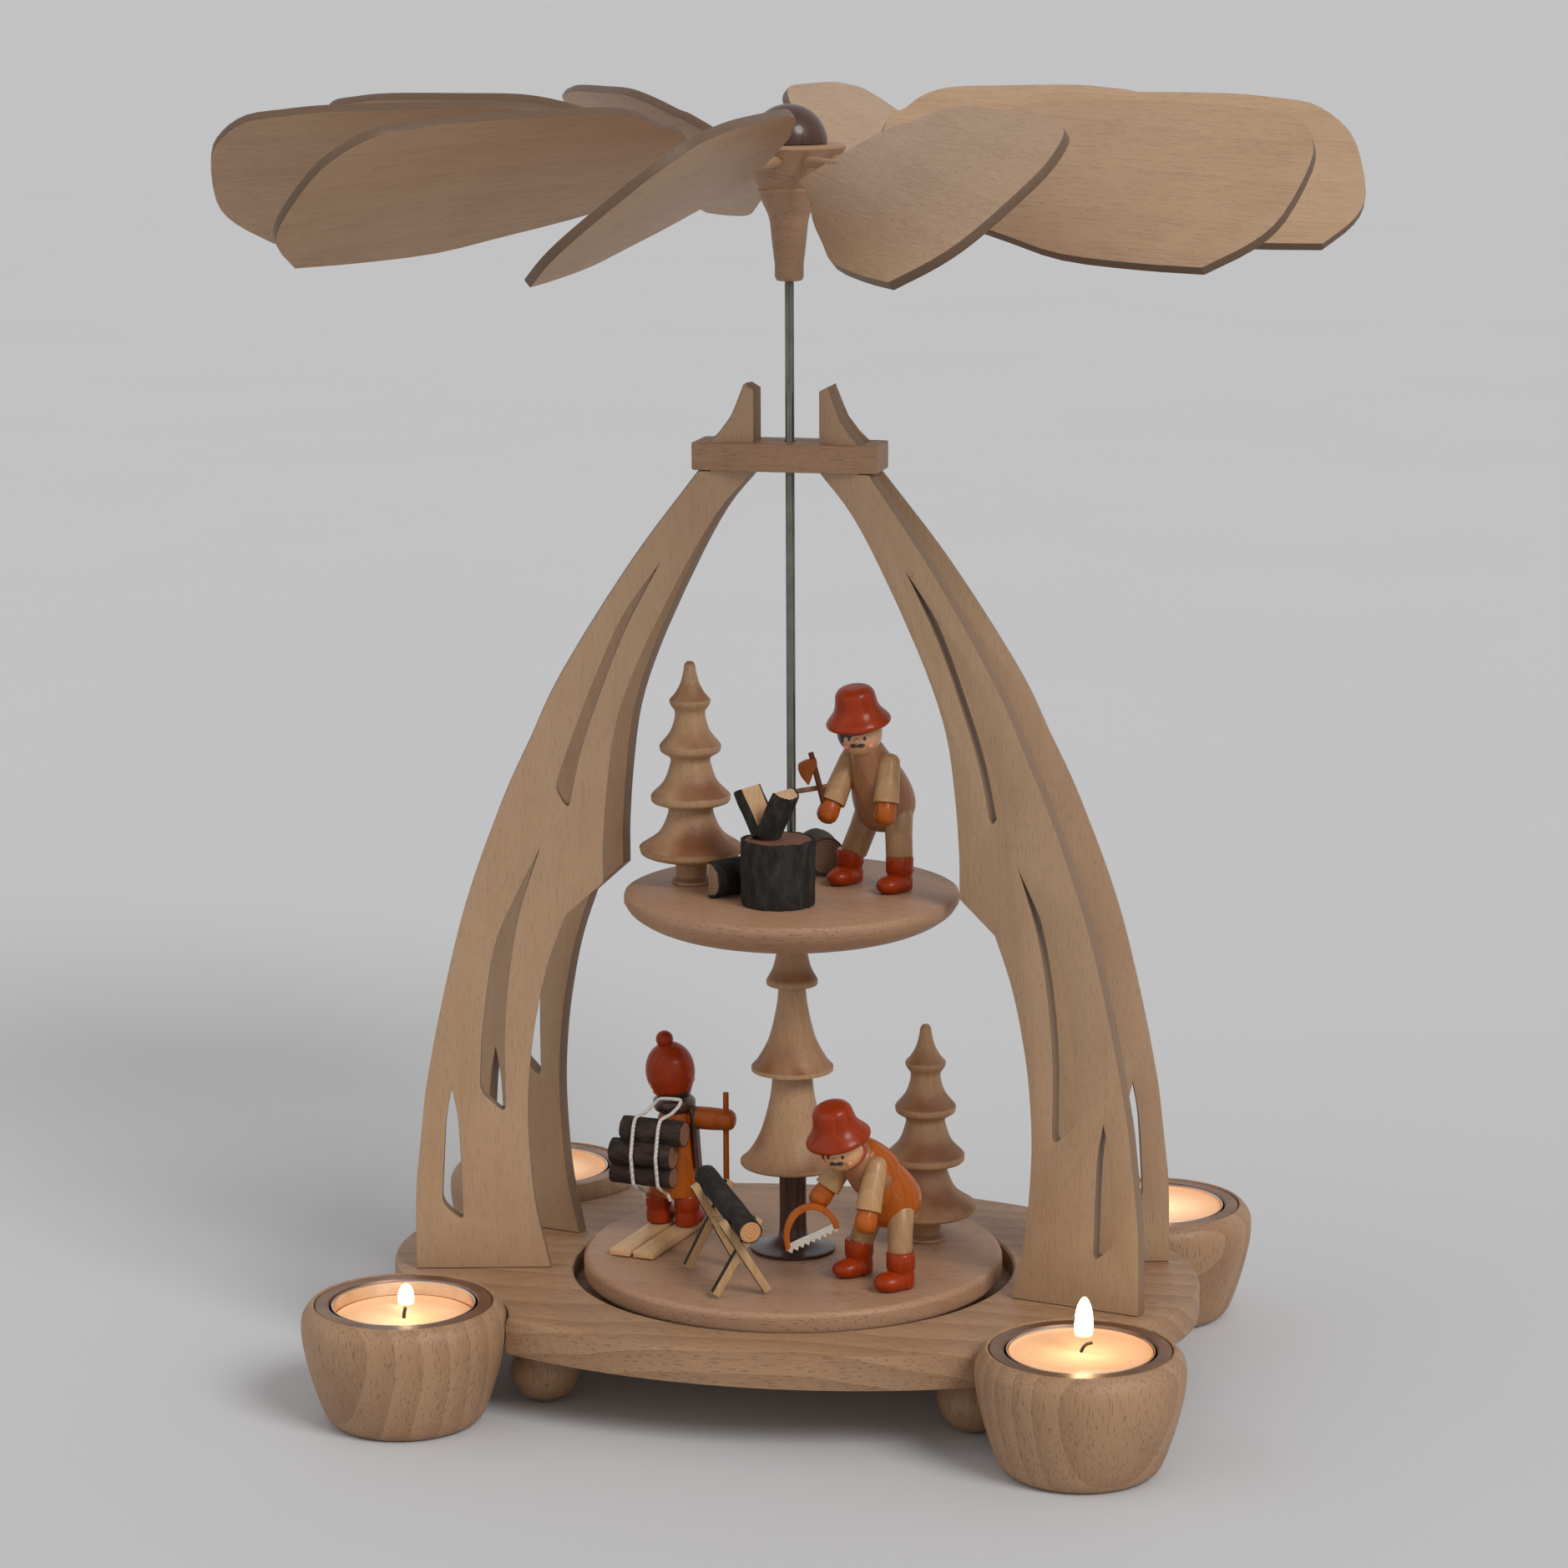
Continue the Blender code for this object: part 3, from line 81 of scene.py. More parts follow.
class Axis(Enum):
    """The way that the grain of a piece runs."""

    X = "X"
    Y = "Y"
    Z = "Z"

    def sides(self, along: float, across: float) -> list[float]:
        """Three factors, one for the way of the grain and another for the two ways across it."""
        return [along if axis is self else across for axis in Axis]


def dimmed(colour: Colour, share: float) -> Colour:
    """A share of a colour."""
    return tuple(channel * share for channel in colour)


class Value:
    """A socket of a material that can stand in a Python sum."""

    def __init__(self, sheet: "Recipe", socket: bpy.types.NodeSocket) -> None:
        """Keeps the recipe and the socket."""
        self.sheet = sheet
        self.socket = socket

    def _sum(self, operation: str, left: Term, right: Term) -> "Value":
        """Adds one Math node with its two terms."""
        return self.sheet.value("ShaderNodeMath", {"operation": operation}, {0: left, 1: right})

    def __add__(self, other: Term) -> "Value":
        """This value plus another."""
        return self._sum("ADD", self, other)

    __radd__ = __add__

    def __sub__(self, other: Term) -> "Value":
        """This value less another."""
        return self._sum("SUBTRACT", self, other)

    def __rsub__(self, other: Term) -> "Value":
        """Another value less this one."""
        return self._sum("SUBTRACT", other, self)

    def __mul__(self, other: Term) -> "Value":
        """This value times another."""
        return self._sum("MULTIPLY", self, other)

    __rmul__ = __mul__

    def __abs__(self) -> "Value":
        """This value without its sign."""
        return self.sheet.value("ShaderNodeMath", {"operation": "ABSOLUTE"}, {0: self})

    def above(self, low: float, high: float) -> "Value":
        """A mask that rises from 0 at the low value to 1 at the high one."""
        settings = {"interpolation_type": "SMOOTHSTEP"}
        return self.sheet.value("ShaderNodeMapRange", settings, {0: self, 1: low, 2: high})


class Recipe:
    """The node tree of one finish."""

    def __init__(self, name: str) -> None:
        """Starts a material with an empty tree.

        Args:
            name: The material's name.
        """
        self.material = bpy.data.materials.new(name)
        self.material.use_nodes = True
        self.tree = self.material.node_tree
        self.tree.nodes.clear()

    def node(self, kind: str, settings: dict | None = None, sockets: dict | None = None) -> bpy.types.Node:
        """Adds one node.

        Args:
            kind: The node's type.
            settings: Its settings, and "stops" for a ramp, which are set first.
            sockets: Values or links by socket name or number.

        Returns:
            The node.
        """
        made = self.tree.nodes.new(kind)
        for key, setting in (settings or {}).items():
            if key == "stops":
                ramp = made.color_ramp
                while len(ramp.elements) < len(setting):
                    ramp.elements.new(1)
                for element, (place, colour) in zip(ramp.elements, setting):
                    element.position = place
                    element.color = (*colour, 1)
            else:
                setattr(made, key, setting)
        for key, term in (sockets or {}).items():
            socket = made.inputs[key]
            if isinstance(term, Value):
                self.tree.links.new(term.socket, socket)
            elif socket.type == "RGBA" and len(term) == 3:
                socket.default_value = (*term, 1)
            else:
                socket.default_value = term
        return made

    def value(
        self, kind: str, settings: dict | None = None, sockets: dict | None = None, output: int = 0,
    ) -> Value:
        """Adds one node and returns the output of that number."""
        return Value(self, self.node(kind, settings, sockets).outputs[output])

    def vector(self, operation: str, sockets: dict, output: int = 0) -> Value:
        """Adds one Vector Math node and returns the output of that number."""
        return self.value("ShaderNodeVectorMath", {"operation": operation}, sockets, output)

    def place(self, own_start: bool = True) -> Value:
        """The point on the piece, shifted for each piece so that no two have the same grain.

        Args:
            own_start: Whether each piece gets its own start.

        Returns:
            The point.
        """
        spot = self.value("ShaderNodeTexCoord", output=3)
        if not own_start:
            return spot
        chance = self.value("ShaderNodeObjectInfo", output=5)
        shift = self.vector("SCALE", {0: (0.31, 0.17, 0.23), "Scale": chance})
        return self.vector("ADD", {0: spot, 1: shift})

    def scaled(self, spot: Value, factors: Sequence[float]) -> Value:
        """The point with each side multiplied by its factor."""
        return self.vector("MULTIPLY", {0: spot, 1: tuple(factors)})

    def rise(self, spot: Value) -> Value:
        """The part of a vector that points up."""
        return self.value("ShaderNodeSeparateXYZ", None, {0: spot}, 2)

    def facing(self) -> Value:
        """How far the surface faces up, from -1 to 1."""
        return self.rise(self.value("ShaderNodeTexCoord", output=1))

    def noise(self, spot: Value, scale: float, detail: float = 3, rough: float = 0.55) -> Value:
        """Soft noise from 0 to 1.

        Args:
            spot: Where it is read.
            scale: How many waves per metre.
            detail: How many finer layers.
            rough: How strong the finer layers are.

        Returns:
            The noise.
        """
        sockets = {"Vector": spot, "Scale": scale, "Detail": detail, "Roughness": rough}
        return self.value("ShaderNodeTexNoise", None, sockets)

    def blend(self, mask: Term, low: Term, high: Term) -> Value:
        """The low colour, and the high one as far as the mask lets it show."""
        return self.value("ShaderNodeMix", {"data_type": "RGBA"}, {0: mask, 6: low, 7: high}, 2)

    def bump(self, height: Value, depth: float) -> Value:
        """A normal that follows a height from 0 to 1, with its depth in metres."""
        return self.value("ShaderNodeBump", None, {"Height": height, "Distance": depth})

    def finish(self, sockets: dict) -> bpy.types.Material:
        """Adds the surface shader and the output.

        Args:
            sockets: Values or links of the Principled shader.

        Returns:
            The finished material.
        """
        shader = self.value("ShaderNodeBsdfPrincipled", None, sockets)
        self.node("ShaderNodeOutputMaterial", None, {"Surface": shader})
        return self.material


class Finish:
    """Anything that makes a material; it is made once and shared."""

    name: str
    made: dict[str, bpy.types.Material] = {}

    def recipe(self) -> bpy.types.Material:
        """Builds the material."""
        raise NotImplementedError

    def material(self) -> bpy.types.Material:
        """The material of this finish.

        Returns:
            The material, made at the first call.
        """
        if self.name not in Finish.made:
            Finish.made[self.name] = self.recipe()
        return Finish.made[self.name]


@dataclass(frozen=True)
class Wood(Finish):
    """Planed or turned wood with growth rings, fibres and short dark flecks.

    The edge is how far sawn sides are darkened, partly for the sawn wood's darker tone and partly as painted
    shade, the shade how deep that tone is, and the slopes how warm the open grain is where a turned piece
    faces up.
    """

    name: str
    pale: Colour
    deep: Colour
    along: Axis = Axis.Z
    ring: float = 3.2
    flecks: float = 0.5
    fibre: float = 0.35
    roughness: float = 0.5
    lacquer: float = 0.0
    edge: float = 0.0
    gloss: float = 0.4
    bands: float = 0.3
    slopes: float = 0.0
    shade: float = 0.62

    def recipe(self) -> bpy.types.Material:
        """Builds the wood.

        Returns:
            The material.
        """
        sheet = Recipe(self.name)
        spot = sheet.place()
        drift = sheet.noise(sheet.scaled(spot, self.along.sides(14.0 / 9, 260.0 / 9)), 1, 2)
        wave = sheet.value(
            "ShaderNodeTexWave",
            {"wave_type": "RINGS", "rings_direction": self.along.value, "wave_profile": "SAW"},
            {
                "Vector": sheet.vector("ADD", {0: spot, 1: (0.021, 0.034, 0.027)}),
                "Scale": 0.314 / (self.ring * MM), "Distortion": 5.5, "Detail": 2.0, "Detail Scale": 0.22,
                "Phase Offset": drift * 9,
            },
            1,
        )
        fibre = sheet.noise(sheet.scaled(spot, self.along.sides(14.0 * 9, 260.0 * 9)), 1, 4, 0.65)
        fleck = sheet.noise(sheet.scaled(spot, self.along.sides(330.0, 2100.0)), 1, 1, 0.4).above(0.6, 0.7)
        cloud = sheet.noise(spot, 38, 2)
        tone = wave * self.bands + 0.15 + (fibre - 0.5) * self.fibre * 2 + (cloud - 0.5) * 0.6
        body = sheet.blend(tone.above(-0.1, 0.95), self.pale, self.deep)
        colour = sheet.blend(fleck * self.flecks, body, dimmed(self.deep, 0.55))
        # Sawn sides, the faces that point neither up nor down in the piece's own frame, are darkened: partly
        # the sawn wood's darker tone and partly painted shade.
        if self.edge:
            side = 1 - abs(sheet.facing()).above(0.25, 0.8)
            colour = sheet.blend(side * self.edge, colour, dimmed(self.deep, self.shade))
        if self.slopes:
            patch = sheet.noise(sheet.scaled(spot, (70.0, 70.0, 25.0)), 1, 2)
            open_grain = sheet.facing().above(0.12, 0.62) * (patch * 1.4).above(0.35, 0.9)
            warm = tuple(channel * share for channel, share in zip(self.deep, (0.64, 0.46, 0.34)))
            colour = sheet.blend(open_grain * self.slopes, colour, warm)
        relief = fibre * 0.6 + wave * 0.25 - fleck * 0.5
        return sheet.finish({
            "Base Color": colour,
            "Roughness": self.roughness + (fibre - 0.5) * 0.22 - fleck * 0.05,
            "Specular IOR Level": self.gloss,
            "Coat Weight": self.lacquer,
            "Coat Roughness": 0.12,
            "Normal": sheet.bump(relief, 0.00004 if self.lacquer else 0.00012),
        })


@dataclass(frozen=True)
class Bark(Finish):
    """Rough bark with furrows along the log."""

    name: str
    pale: Colour
    deep: Colour
    along: Axis = Axis.Z
    lichen: Colour = (0.03, 0.032, 0.028)

    def recipe(self) -> bpy.types.Material:
        """Builds the bark.

        Returns:
            The material.
        """
        sheet = Recipe(self.name)
        spot = sheet.place()
        furrows = sheet.noise(sheet.scaled(spot, self.along.sides(190.0, 480.0)), 1, 5, 0.6)
        relief = furrows * 0.85 + sheet.noise(spot, 2600, 2) * 0.15
        moss = sheet.noise(spot, 130, 3).above(0.5, 0.72)
        colour = sheet.blend(relief.above(0.36, 0.78), self.deep, self.pale)
        return sheet.finish({
            "Base Color": sheet.blend(moss * 0.55, colour, self.lichen),
            "Roughness": 0.66 + furrows * 0.25,
            "Specular IOR Level": 0.25,
            "Normal": sheet.bump(relief, 0.00028),
        })


@dataclass(frozen=True)
class EndGrain(Finish):
    """The sawn end of a log, with rings about the log's own axis."""

    name: str
    pale: Colour
    deep: Colour
    along: Axis = Axis.Z

    def recipe(self) -> bpy.types.Material:
        """Builds the end grain.

        Returns:
            The material.
        """
        sheet = Recipe(self.name)
        spot = sheet.place(False)
        rings = sheet.value(
            "ShaderNodeTexWave", {"wave_type": "RINGS", "rings_direction": self.along.value},
            {"Vector": spot, "Scale": 330.0, "Distortion": 2.5, "Detail": 3.0, "Detail Scale": 1.2},
            1,
        )
        grit = sheet.noise(spot, 1900, 3)
        stain = sheet.noise(spot, 260, 2)
        colour = sheet.blend(rings * 0.55 + (grit - 0.5) * 0.6, self.pale, self.deep)
        return sheet.finish({
            "Base Color": sheet.blend(stain.above(0.5, 0.75) * 0.4, colour, self.deep),
            "Roughness": 0.62 + grit * 0.25,
            "Normal": sheet.bump(rings * 0.4 + grit * 0.6, 0.00015),
        })


@dataclass(frozen=True)
class Metal(Finish):
    """Drawn or pressed metal with turning lines and finger marks."""

    name: str
    colour: Colour
    dull: Colour
    roughness: float = 0.3

    def recipe(self) -> bpy.types.Material:
        """Builds the metal.

        Returns:
            The material.
        """
        sheet = Recipe(self.name)
        spot = sheet.place()
        lines = sheet.noise(sheet.scaled(spot, (60.0, 60.0, 2600.0)), 1, 2)
        smear = sheet.noise(spot, 120, 4)
        return sheet.finish({
            "Base Color": sheet.blend(smear.above(0.35, 0.8) * 0.7, self.colour, self.dull),
            "Metallic": 1.0,
            "Roughness": self.roughness + (lines - 0.5) * 0.2 + (smear - 0.5) * 0.25,
            "Normal": sheet.bump(lines, 0.00003),
        })


@dataclass(frozen=True)
class Enamel(Finish):
    """A brushed paint with a slight ripple."""

    name: str
    colour: Colour
    worn: Colour
    roughness: float = 0.35
    lacquer: float = 0.3

    def recipe(self) -> bpy.types.Material:
        """Builds the paint.

        Returns:
            The material.
        """
        sheet = Recipe(self.name)
        strokes = sheet.noise(sheet.scaled(sheet.place(), (900.0, 900.0, 220.0)), 1, 3)
        return sheet.finish({
            "Base Color": sheet.blend(strokes.above(0.4, 0.85), self.colour, self.worn),
            "Roughness": self.roughness + (strokes - 0.5) * 0.2,
            "Coat Weight": self.lacquer,
            "Normal": sheet.bump(strokes, 0.00004),
        })


@dataclass(frozen=True)
class Twine(Finish):
    """Thin twisted cotton cord."""

    name: str
    pale: Colour
    deep: Colour

    def recipe(self) -> bpy.types.Material:
        """Builds the cord's surface.

        Returns:
            The material.
        """
        sheet = Recipe(self.name)
        spot = sheet.place(False)
        twist = sheet.value(
            "ShaderNodeTexWave", {"wave_type": "BANDS", "bands_direction": "DIAGONAL"},
            {"Vector": spot, "Scale": 420.0, "Distortion": 1.0},
            1,
        )
        fuzz = sheet.noise(spot, 4200, 2)
        return sheet.finish({
            "Base Color": sheet.blend(twist * 0.6 + fuzz * 0.3, self.deep, self.pale),
            "Roughness": 0.75 + fuzz * 0.2,
            "Normal": sheet.bump(twist, 0.00012),
        })


@dataclass(frozen=True)
class Wax(Finish):
    """Warm candle wax with a painted glow: paler, warmer and emitting light round the wick, dim orange
    further out; its pool is shinier than its rim.
    """

    name: str
    radius: float
    cool: Colour = (0.72, 0.44, 0.26)
    warm: Colour = (0.88, 0.62, 0.38)
    outer_glow: Colour = (0.5, 0.13, 0.02)
    wick_glow: Colour = (1.0, 0.5, 0.17)

    def recipe(self) -> bpy.types.Material:
        """Builds the wax.

        Returns:
            The material.
        """
        sheet = Recipe(self.name)
        spot = sheet.place(False)
        reach = sheet.vector("LENGTH", {0: sheet.scaled(spot, (1.0, 1.0, 0.0))}, 1)
        # Painted glow: near is 1 at the wick and fades to 0 past the shell's radius; it makes the colour
        # paler and warmer and the emission hot round the wick.
        near = 1 - reach.above(0.0, self.radius * 1.15 * MM)
        cloud = sheet.noise(spot, 110, 3)
        pool = (reach + (cloud - 0.5) * 0.004).above(self.radius * 0.62 * MM, self.radius * 0.8 * MM)
        return sheet.finish({
            "Base Color": sheet.blend(near * 0.8 + cloud * 0.2, self.cool, self.warm),
            "Roughness": 0.12 + pool * 0.35,
            "Subsurface Weight": 0.3,
            "Subsurface Radius": (0.006, 0.003, 0.0015),
            "Emission Color": sheet.blend(near, self.outer_glow, self.wick_glow),
            "Emission Strength": 0.42,
            "Normal": sheet.bump(cloud + pool * 0.5, 0.00025),
        })


@dataclass(frozen=True)
class Flame(Finish):
    """A candle flame: clear at the foot, white in its middle, amber at the tip."""

    name: str
    height: float

    def recipe(self) -> bpy.types.Material:
        """Builds the flame.

        Returns:
            The material.
        """
        sheet = Recipe(self.name)
        rise = sheet.rise(sheet.place(False)) * (1 / (self.height * MM))
        stops = (
            (0.0, (0.02, 0.01, 0.004)), (0.24, (0.12, 0.07, 0.03)), (0.4, (1.0, 0.86, 0.55)),
            (0.75, (1.0, 0.9, 0.62)), (1.0, (1.0, 0.62, 0.2)),
        )
        return sheet.finish({
            "Base Color": (0.0, 0.0, 0.0),
            "Roughness": 1.0,
            "Specular IOR Level": 0.0,
            "Emission Color": sheet.value("ShaderNodeValToRGB", {"stops": stops}, {0: rise}),
            "Emission Strength": 12.0,
            "Alpha": rise.above(0.2, 0.42) * 0.95 + 0.04,
        })


@dataclass(frozen=True)
class Paper(Finish):
    """The pale floor, with the faintest mottling."""

    name: str = "floor"
    colour: Colour = (0.62, 0.62, 0.63)

    def recipe(self) -> bpy.types.Material:
        """Builds the floor's surface.

        Returns:
            The material.
        """
        sheet = Recipe(self.name)
        cloud = sheet.noise(sheet.place(False), 3, 3)
        colour = sheet.blend(cloud, self.colour, dimmed(self.colour, 0.96))
        return sheet.finish({"Base Color": colour, "Roughness": 0.85})


# Woods: the pale and the deep tone, the way of the grain, the width of a ring in millimetres, then how
# strong the flecks and the fibres are, the roughness and the lacquer.
BEECH = Wood("beech turned", (0.42, 0.252, 0.14), (0.29, 0.155, 0.08), Axis.Z, 2.6, bands=0.2)
CUP_WOOD = Wood("cup beech", (0.42, 0.252, 0.14), (0.27, 0.145, 0.077), Axis.Z, 6.0, bands=0.4)
BEECH_BOARD = Wood("beech board", (0.42, 0.25, 0.14), (0.27, 0.147, 0.077), Axis.X, 5.2, bands=0.45)
BEECH_DISC = Wood("beech disc", (0.42, 0.245, 0.148), (0.32, 0.17, 0.096), Axis.X, 5.2, bands=0.22)
# A darker copy of the beech, painted shade for the hub and the tie bar, which stand in shade under the
# blades.
PAINTED_SHADE_BEECH = Wood("shaded beech", (0.37, 0.215, 0.122), (0.26, 0.136, 0.07), Axis.X, 4.0, 0.3, bands=0.15)
TREE_WOOD = Wood(
    "tree beech", (0.45, 0.272, 0.145), (0.33, 0.17, 0.082), Axis.Z, 2.4, 0.2, bands=0.18, slopes=1.0,
)
# The darker sawn edges of the legs and the blades are partly the sawn wood's own tone and partly painted
# shade; on the blades they are darkened further, mostly as painted shade.
MAPLE = Wood(
    "maple board", (0.43, 0.278, 0.165), (0.33, 0.192, 0.107), Axis.Y, 7.0, 0.1, 0.3, edge=0.85, bands=0.1,
)
VENEER = Wood(
    "blade wood", (0.47, 0.304, 0.183), (0.34, 0.2, 0.116), Axis.X, 9.0, 0.14, 0.6,
    edge=1.0, bands=0.14, shade=0.42,
)
SPLIT = Wood("split wood", (0.62, 0.41, 0.23), (0.47, 0.28, 0.145), Axis.Z, 1.6, 0.15, 0.5, 0.7)
OLD_SPLIT = Wood("old split wood", (0.3, 0.185, 0.105), (0.19, 0.108, 0.06), Axis.Z, 1.6, 0.2, 0.5, 0.72)
TIMBER = Wood("sawhorse timber", (0.54, 0.34, 0.17), (0.4, 0.23, 0.1), Axis.Z, 2.2, 0.2, 0.5, 0.6)
SKI = Wood("ski wood", (0.64, 0.4, 0.2), (0.48, 0.27, 0.12), Axis.X, 2.6, 0.2, 0.5, 0.5, 0.15)
DOLL_WOOD, LEG_WOOD, SLEEVE_WOOD, SKIN, ORANGE, AMBER, AXE_HEAD, AXE_HANDLE, WALNUT = (
    Wood(name, pale, deep, Axis.Z, *numbers, gloss=gloss)
    for name, pale, deep, numbers, gloss in (
        # The doll wood is the bodies' darker brown, darkened further as painted shade on their fronts.
        ("doll wood", (0.37, 0.165, 0.074), (0.24, 0.098, 0.042), (2.4, 0.15, 0.3, 0.4, 0.14), 0.3),
        ("doll leg wood", (0.42, 0.24, 0.115), (0.29, 0.152, 0.066), (2.2, 0.1, 0.3, 0.4, 0.14), 0.3),
        ("pale sleeve wood", (0.48, 0.28, 0.125), (0.34, 0.18, 0.074), (2.2, 0.1, 0.3, 0.4, 0.14), 0.3),
        ("doll skin", (0.68, 0.38, 0.195), (0.57, 0.29, 0.138), (3.0, 0.0, 0.15, 0.36, 0.2), 0.3),
        ("orange stain", (0.35, 0.036, 0.003), (0.21, 0.017, 0.002), (2.0, 0.2, 0.3, 0.34, 0.16), 0.15),
        ("amber stain", (0.44, 0.105, 0.009), (0.28, 0.05, 0.005), (2.2, 0.2, 0.35, 0.34, 0.16), 0.15),
        ("axe head stain", (0.24, 0.056, 0.006), (0.14, 0.027, 0.004), (2.2, 0.2, 0.35, 0.36, 0.12), 0.15),
        ("axe handle stain", (0.13, 0.034, 0.014), (0.075, 0.018, 0.009), (2.0, 0.2, 0.35, 0.38, 0.1), 0.15),
        ("walnut stain", (0.075, 0.03, 0.018), (0.028, 0.011, 0.008), (2.4, 0.3, 0.4, 0.34, 0.3), 0.3),
    )
)

# Barks and sawn ends: the pale and the deep tone, and the way that the log lies.
BARK_UP = Bark("bark upright", (0.05, 0.041, 0.033), (0.011, 0.0095, 0.008))
BARK_LONG = Bark("bark lying", (0.16, 0.11, 0.07), (0.062, 0.043, 0.028), Axis.Y, (0.1, 0.078, 0.054))
BARK_BACK = Bark("bark on the back", (0.085, 0.052, 0.04), (0.02, 0.013, 0.011), Axis.Y)
DARK_SIDE = Bark("dark timber side", (0.06, 0.05, 0.035), (0.02, 0.017, 0.012))
END_UP = EndGrain("end grain upright", (0.21, 0.088, 0.052), (0.12, 0.046, 0.027))
END_LONG = EndGrain("end grain lying", (0.24, 0.145, 0.082), (0.15, 0.085, 0.047), Axis.Y)
END_BACK = EndGrain("end grain on the back", (0.26, 0.12, 0.055), (0.155, 0.065, 0.03), Axis.Y)
END_SAWN = EndGrain("end grain of the sawn log", (0.6, 0.3, 0.12), (0.42, 0.17, 0.06))

# Metals, paints and cord: the main and the worn tone, and the roughness.
STEEL = Metal("drawn steel", (0.2, 0.2, 0.17), (0.1, 0.1, 0.08), 0.34)
ALUMINIUM = Metal("pressed aluminium", (0.82, 0.78, 0.72), (0.6, 0.54, 0.47), 0.26)
SAW_STEEL = Metal("saw blade steel", (0.86, 0.8, 0.7), (0.62, 0.55, 0.46))
FLANGE = Metal("cup insert", (0.34, 0.2, 0.13), (0.2, 0.115, 0.075), 0.42)
BLACK = Enamel("black paint", (0.012, 0.01, 0.01), (0.04, 0.03, 0.025))
RED = Enamel("red paint", (0.32, 0.03, 0.009), (0.44, 0.07, 0.025))
BLUSH = Enamel("cheek paint", (0.72, 0.2, 0.11), (0.78, 0.34, 0.2))
SCARF = Enamel("dark scarf stain", (0.05, 0.018, 0.012), (0.1, 0.04, 0.025))
WICK = Enamel("charred wick", (0.02, 0.012, 0.01), (0.09, 0.03, 0.015), 0.8, 0.0)
CORD = Twine("white cord", (0.86, 0.83, 0.78), (0.5, 0.46, 0.41))


def aimed(run: Vector) -> Matrix:
    """The turn that lays Z along a run."""
    return run.to_track_quat("Z", "Y").to_matrix().to_4x4()


def shares(table: Iterable[Spot], width: float, height: float, base: float = 0.0) -> list[Spot]:
    """Points from a table of shares.

    Args:
        table: Pairs of shares.
        width: What the first share is of.
        height: What the second share is of.
        base: Where the height starts.

    Returns:
        The points.
    """
    return [(share * width, base + rise * height) for share, rise in table]


def arc(centre: Spot, radius: float, start: float, end: float, count: int) -> list[Spot]:
    """Points along an arc.

    Args:
        centre: Its centre.
        radius: Its radius.
        start: The first angle.
        end: The last angle.
        count: How many steps it has.

    Returns:
        The points, both ends included.
    """
    turns = [start + (end - start) * i / count for i in range(count + 1)]
    return [(centre[0] + radius * math.cos(a), centre[1] + radius * math.sin(a)) for a in turns]


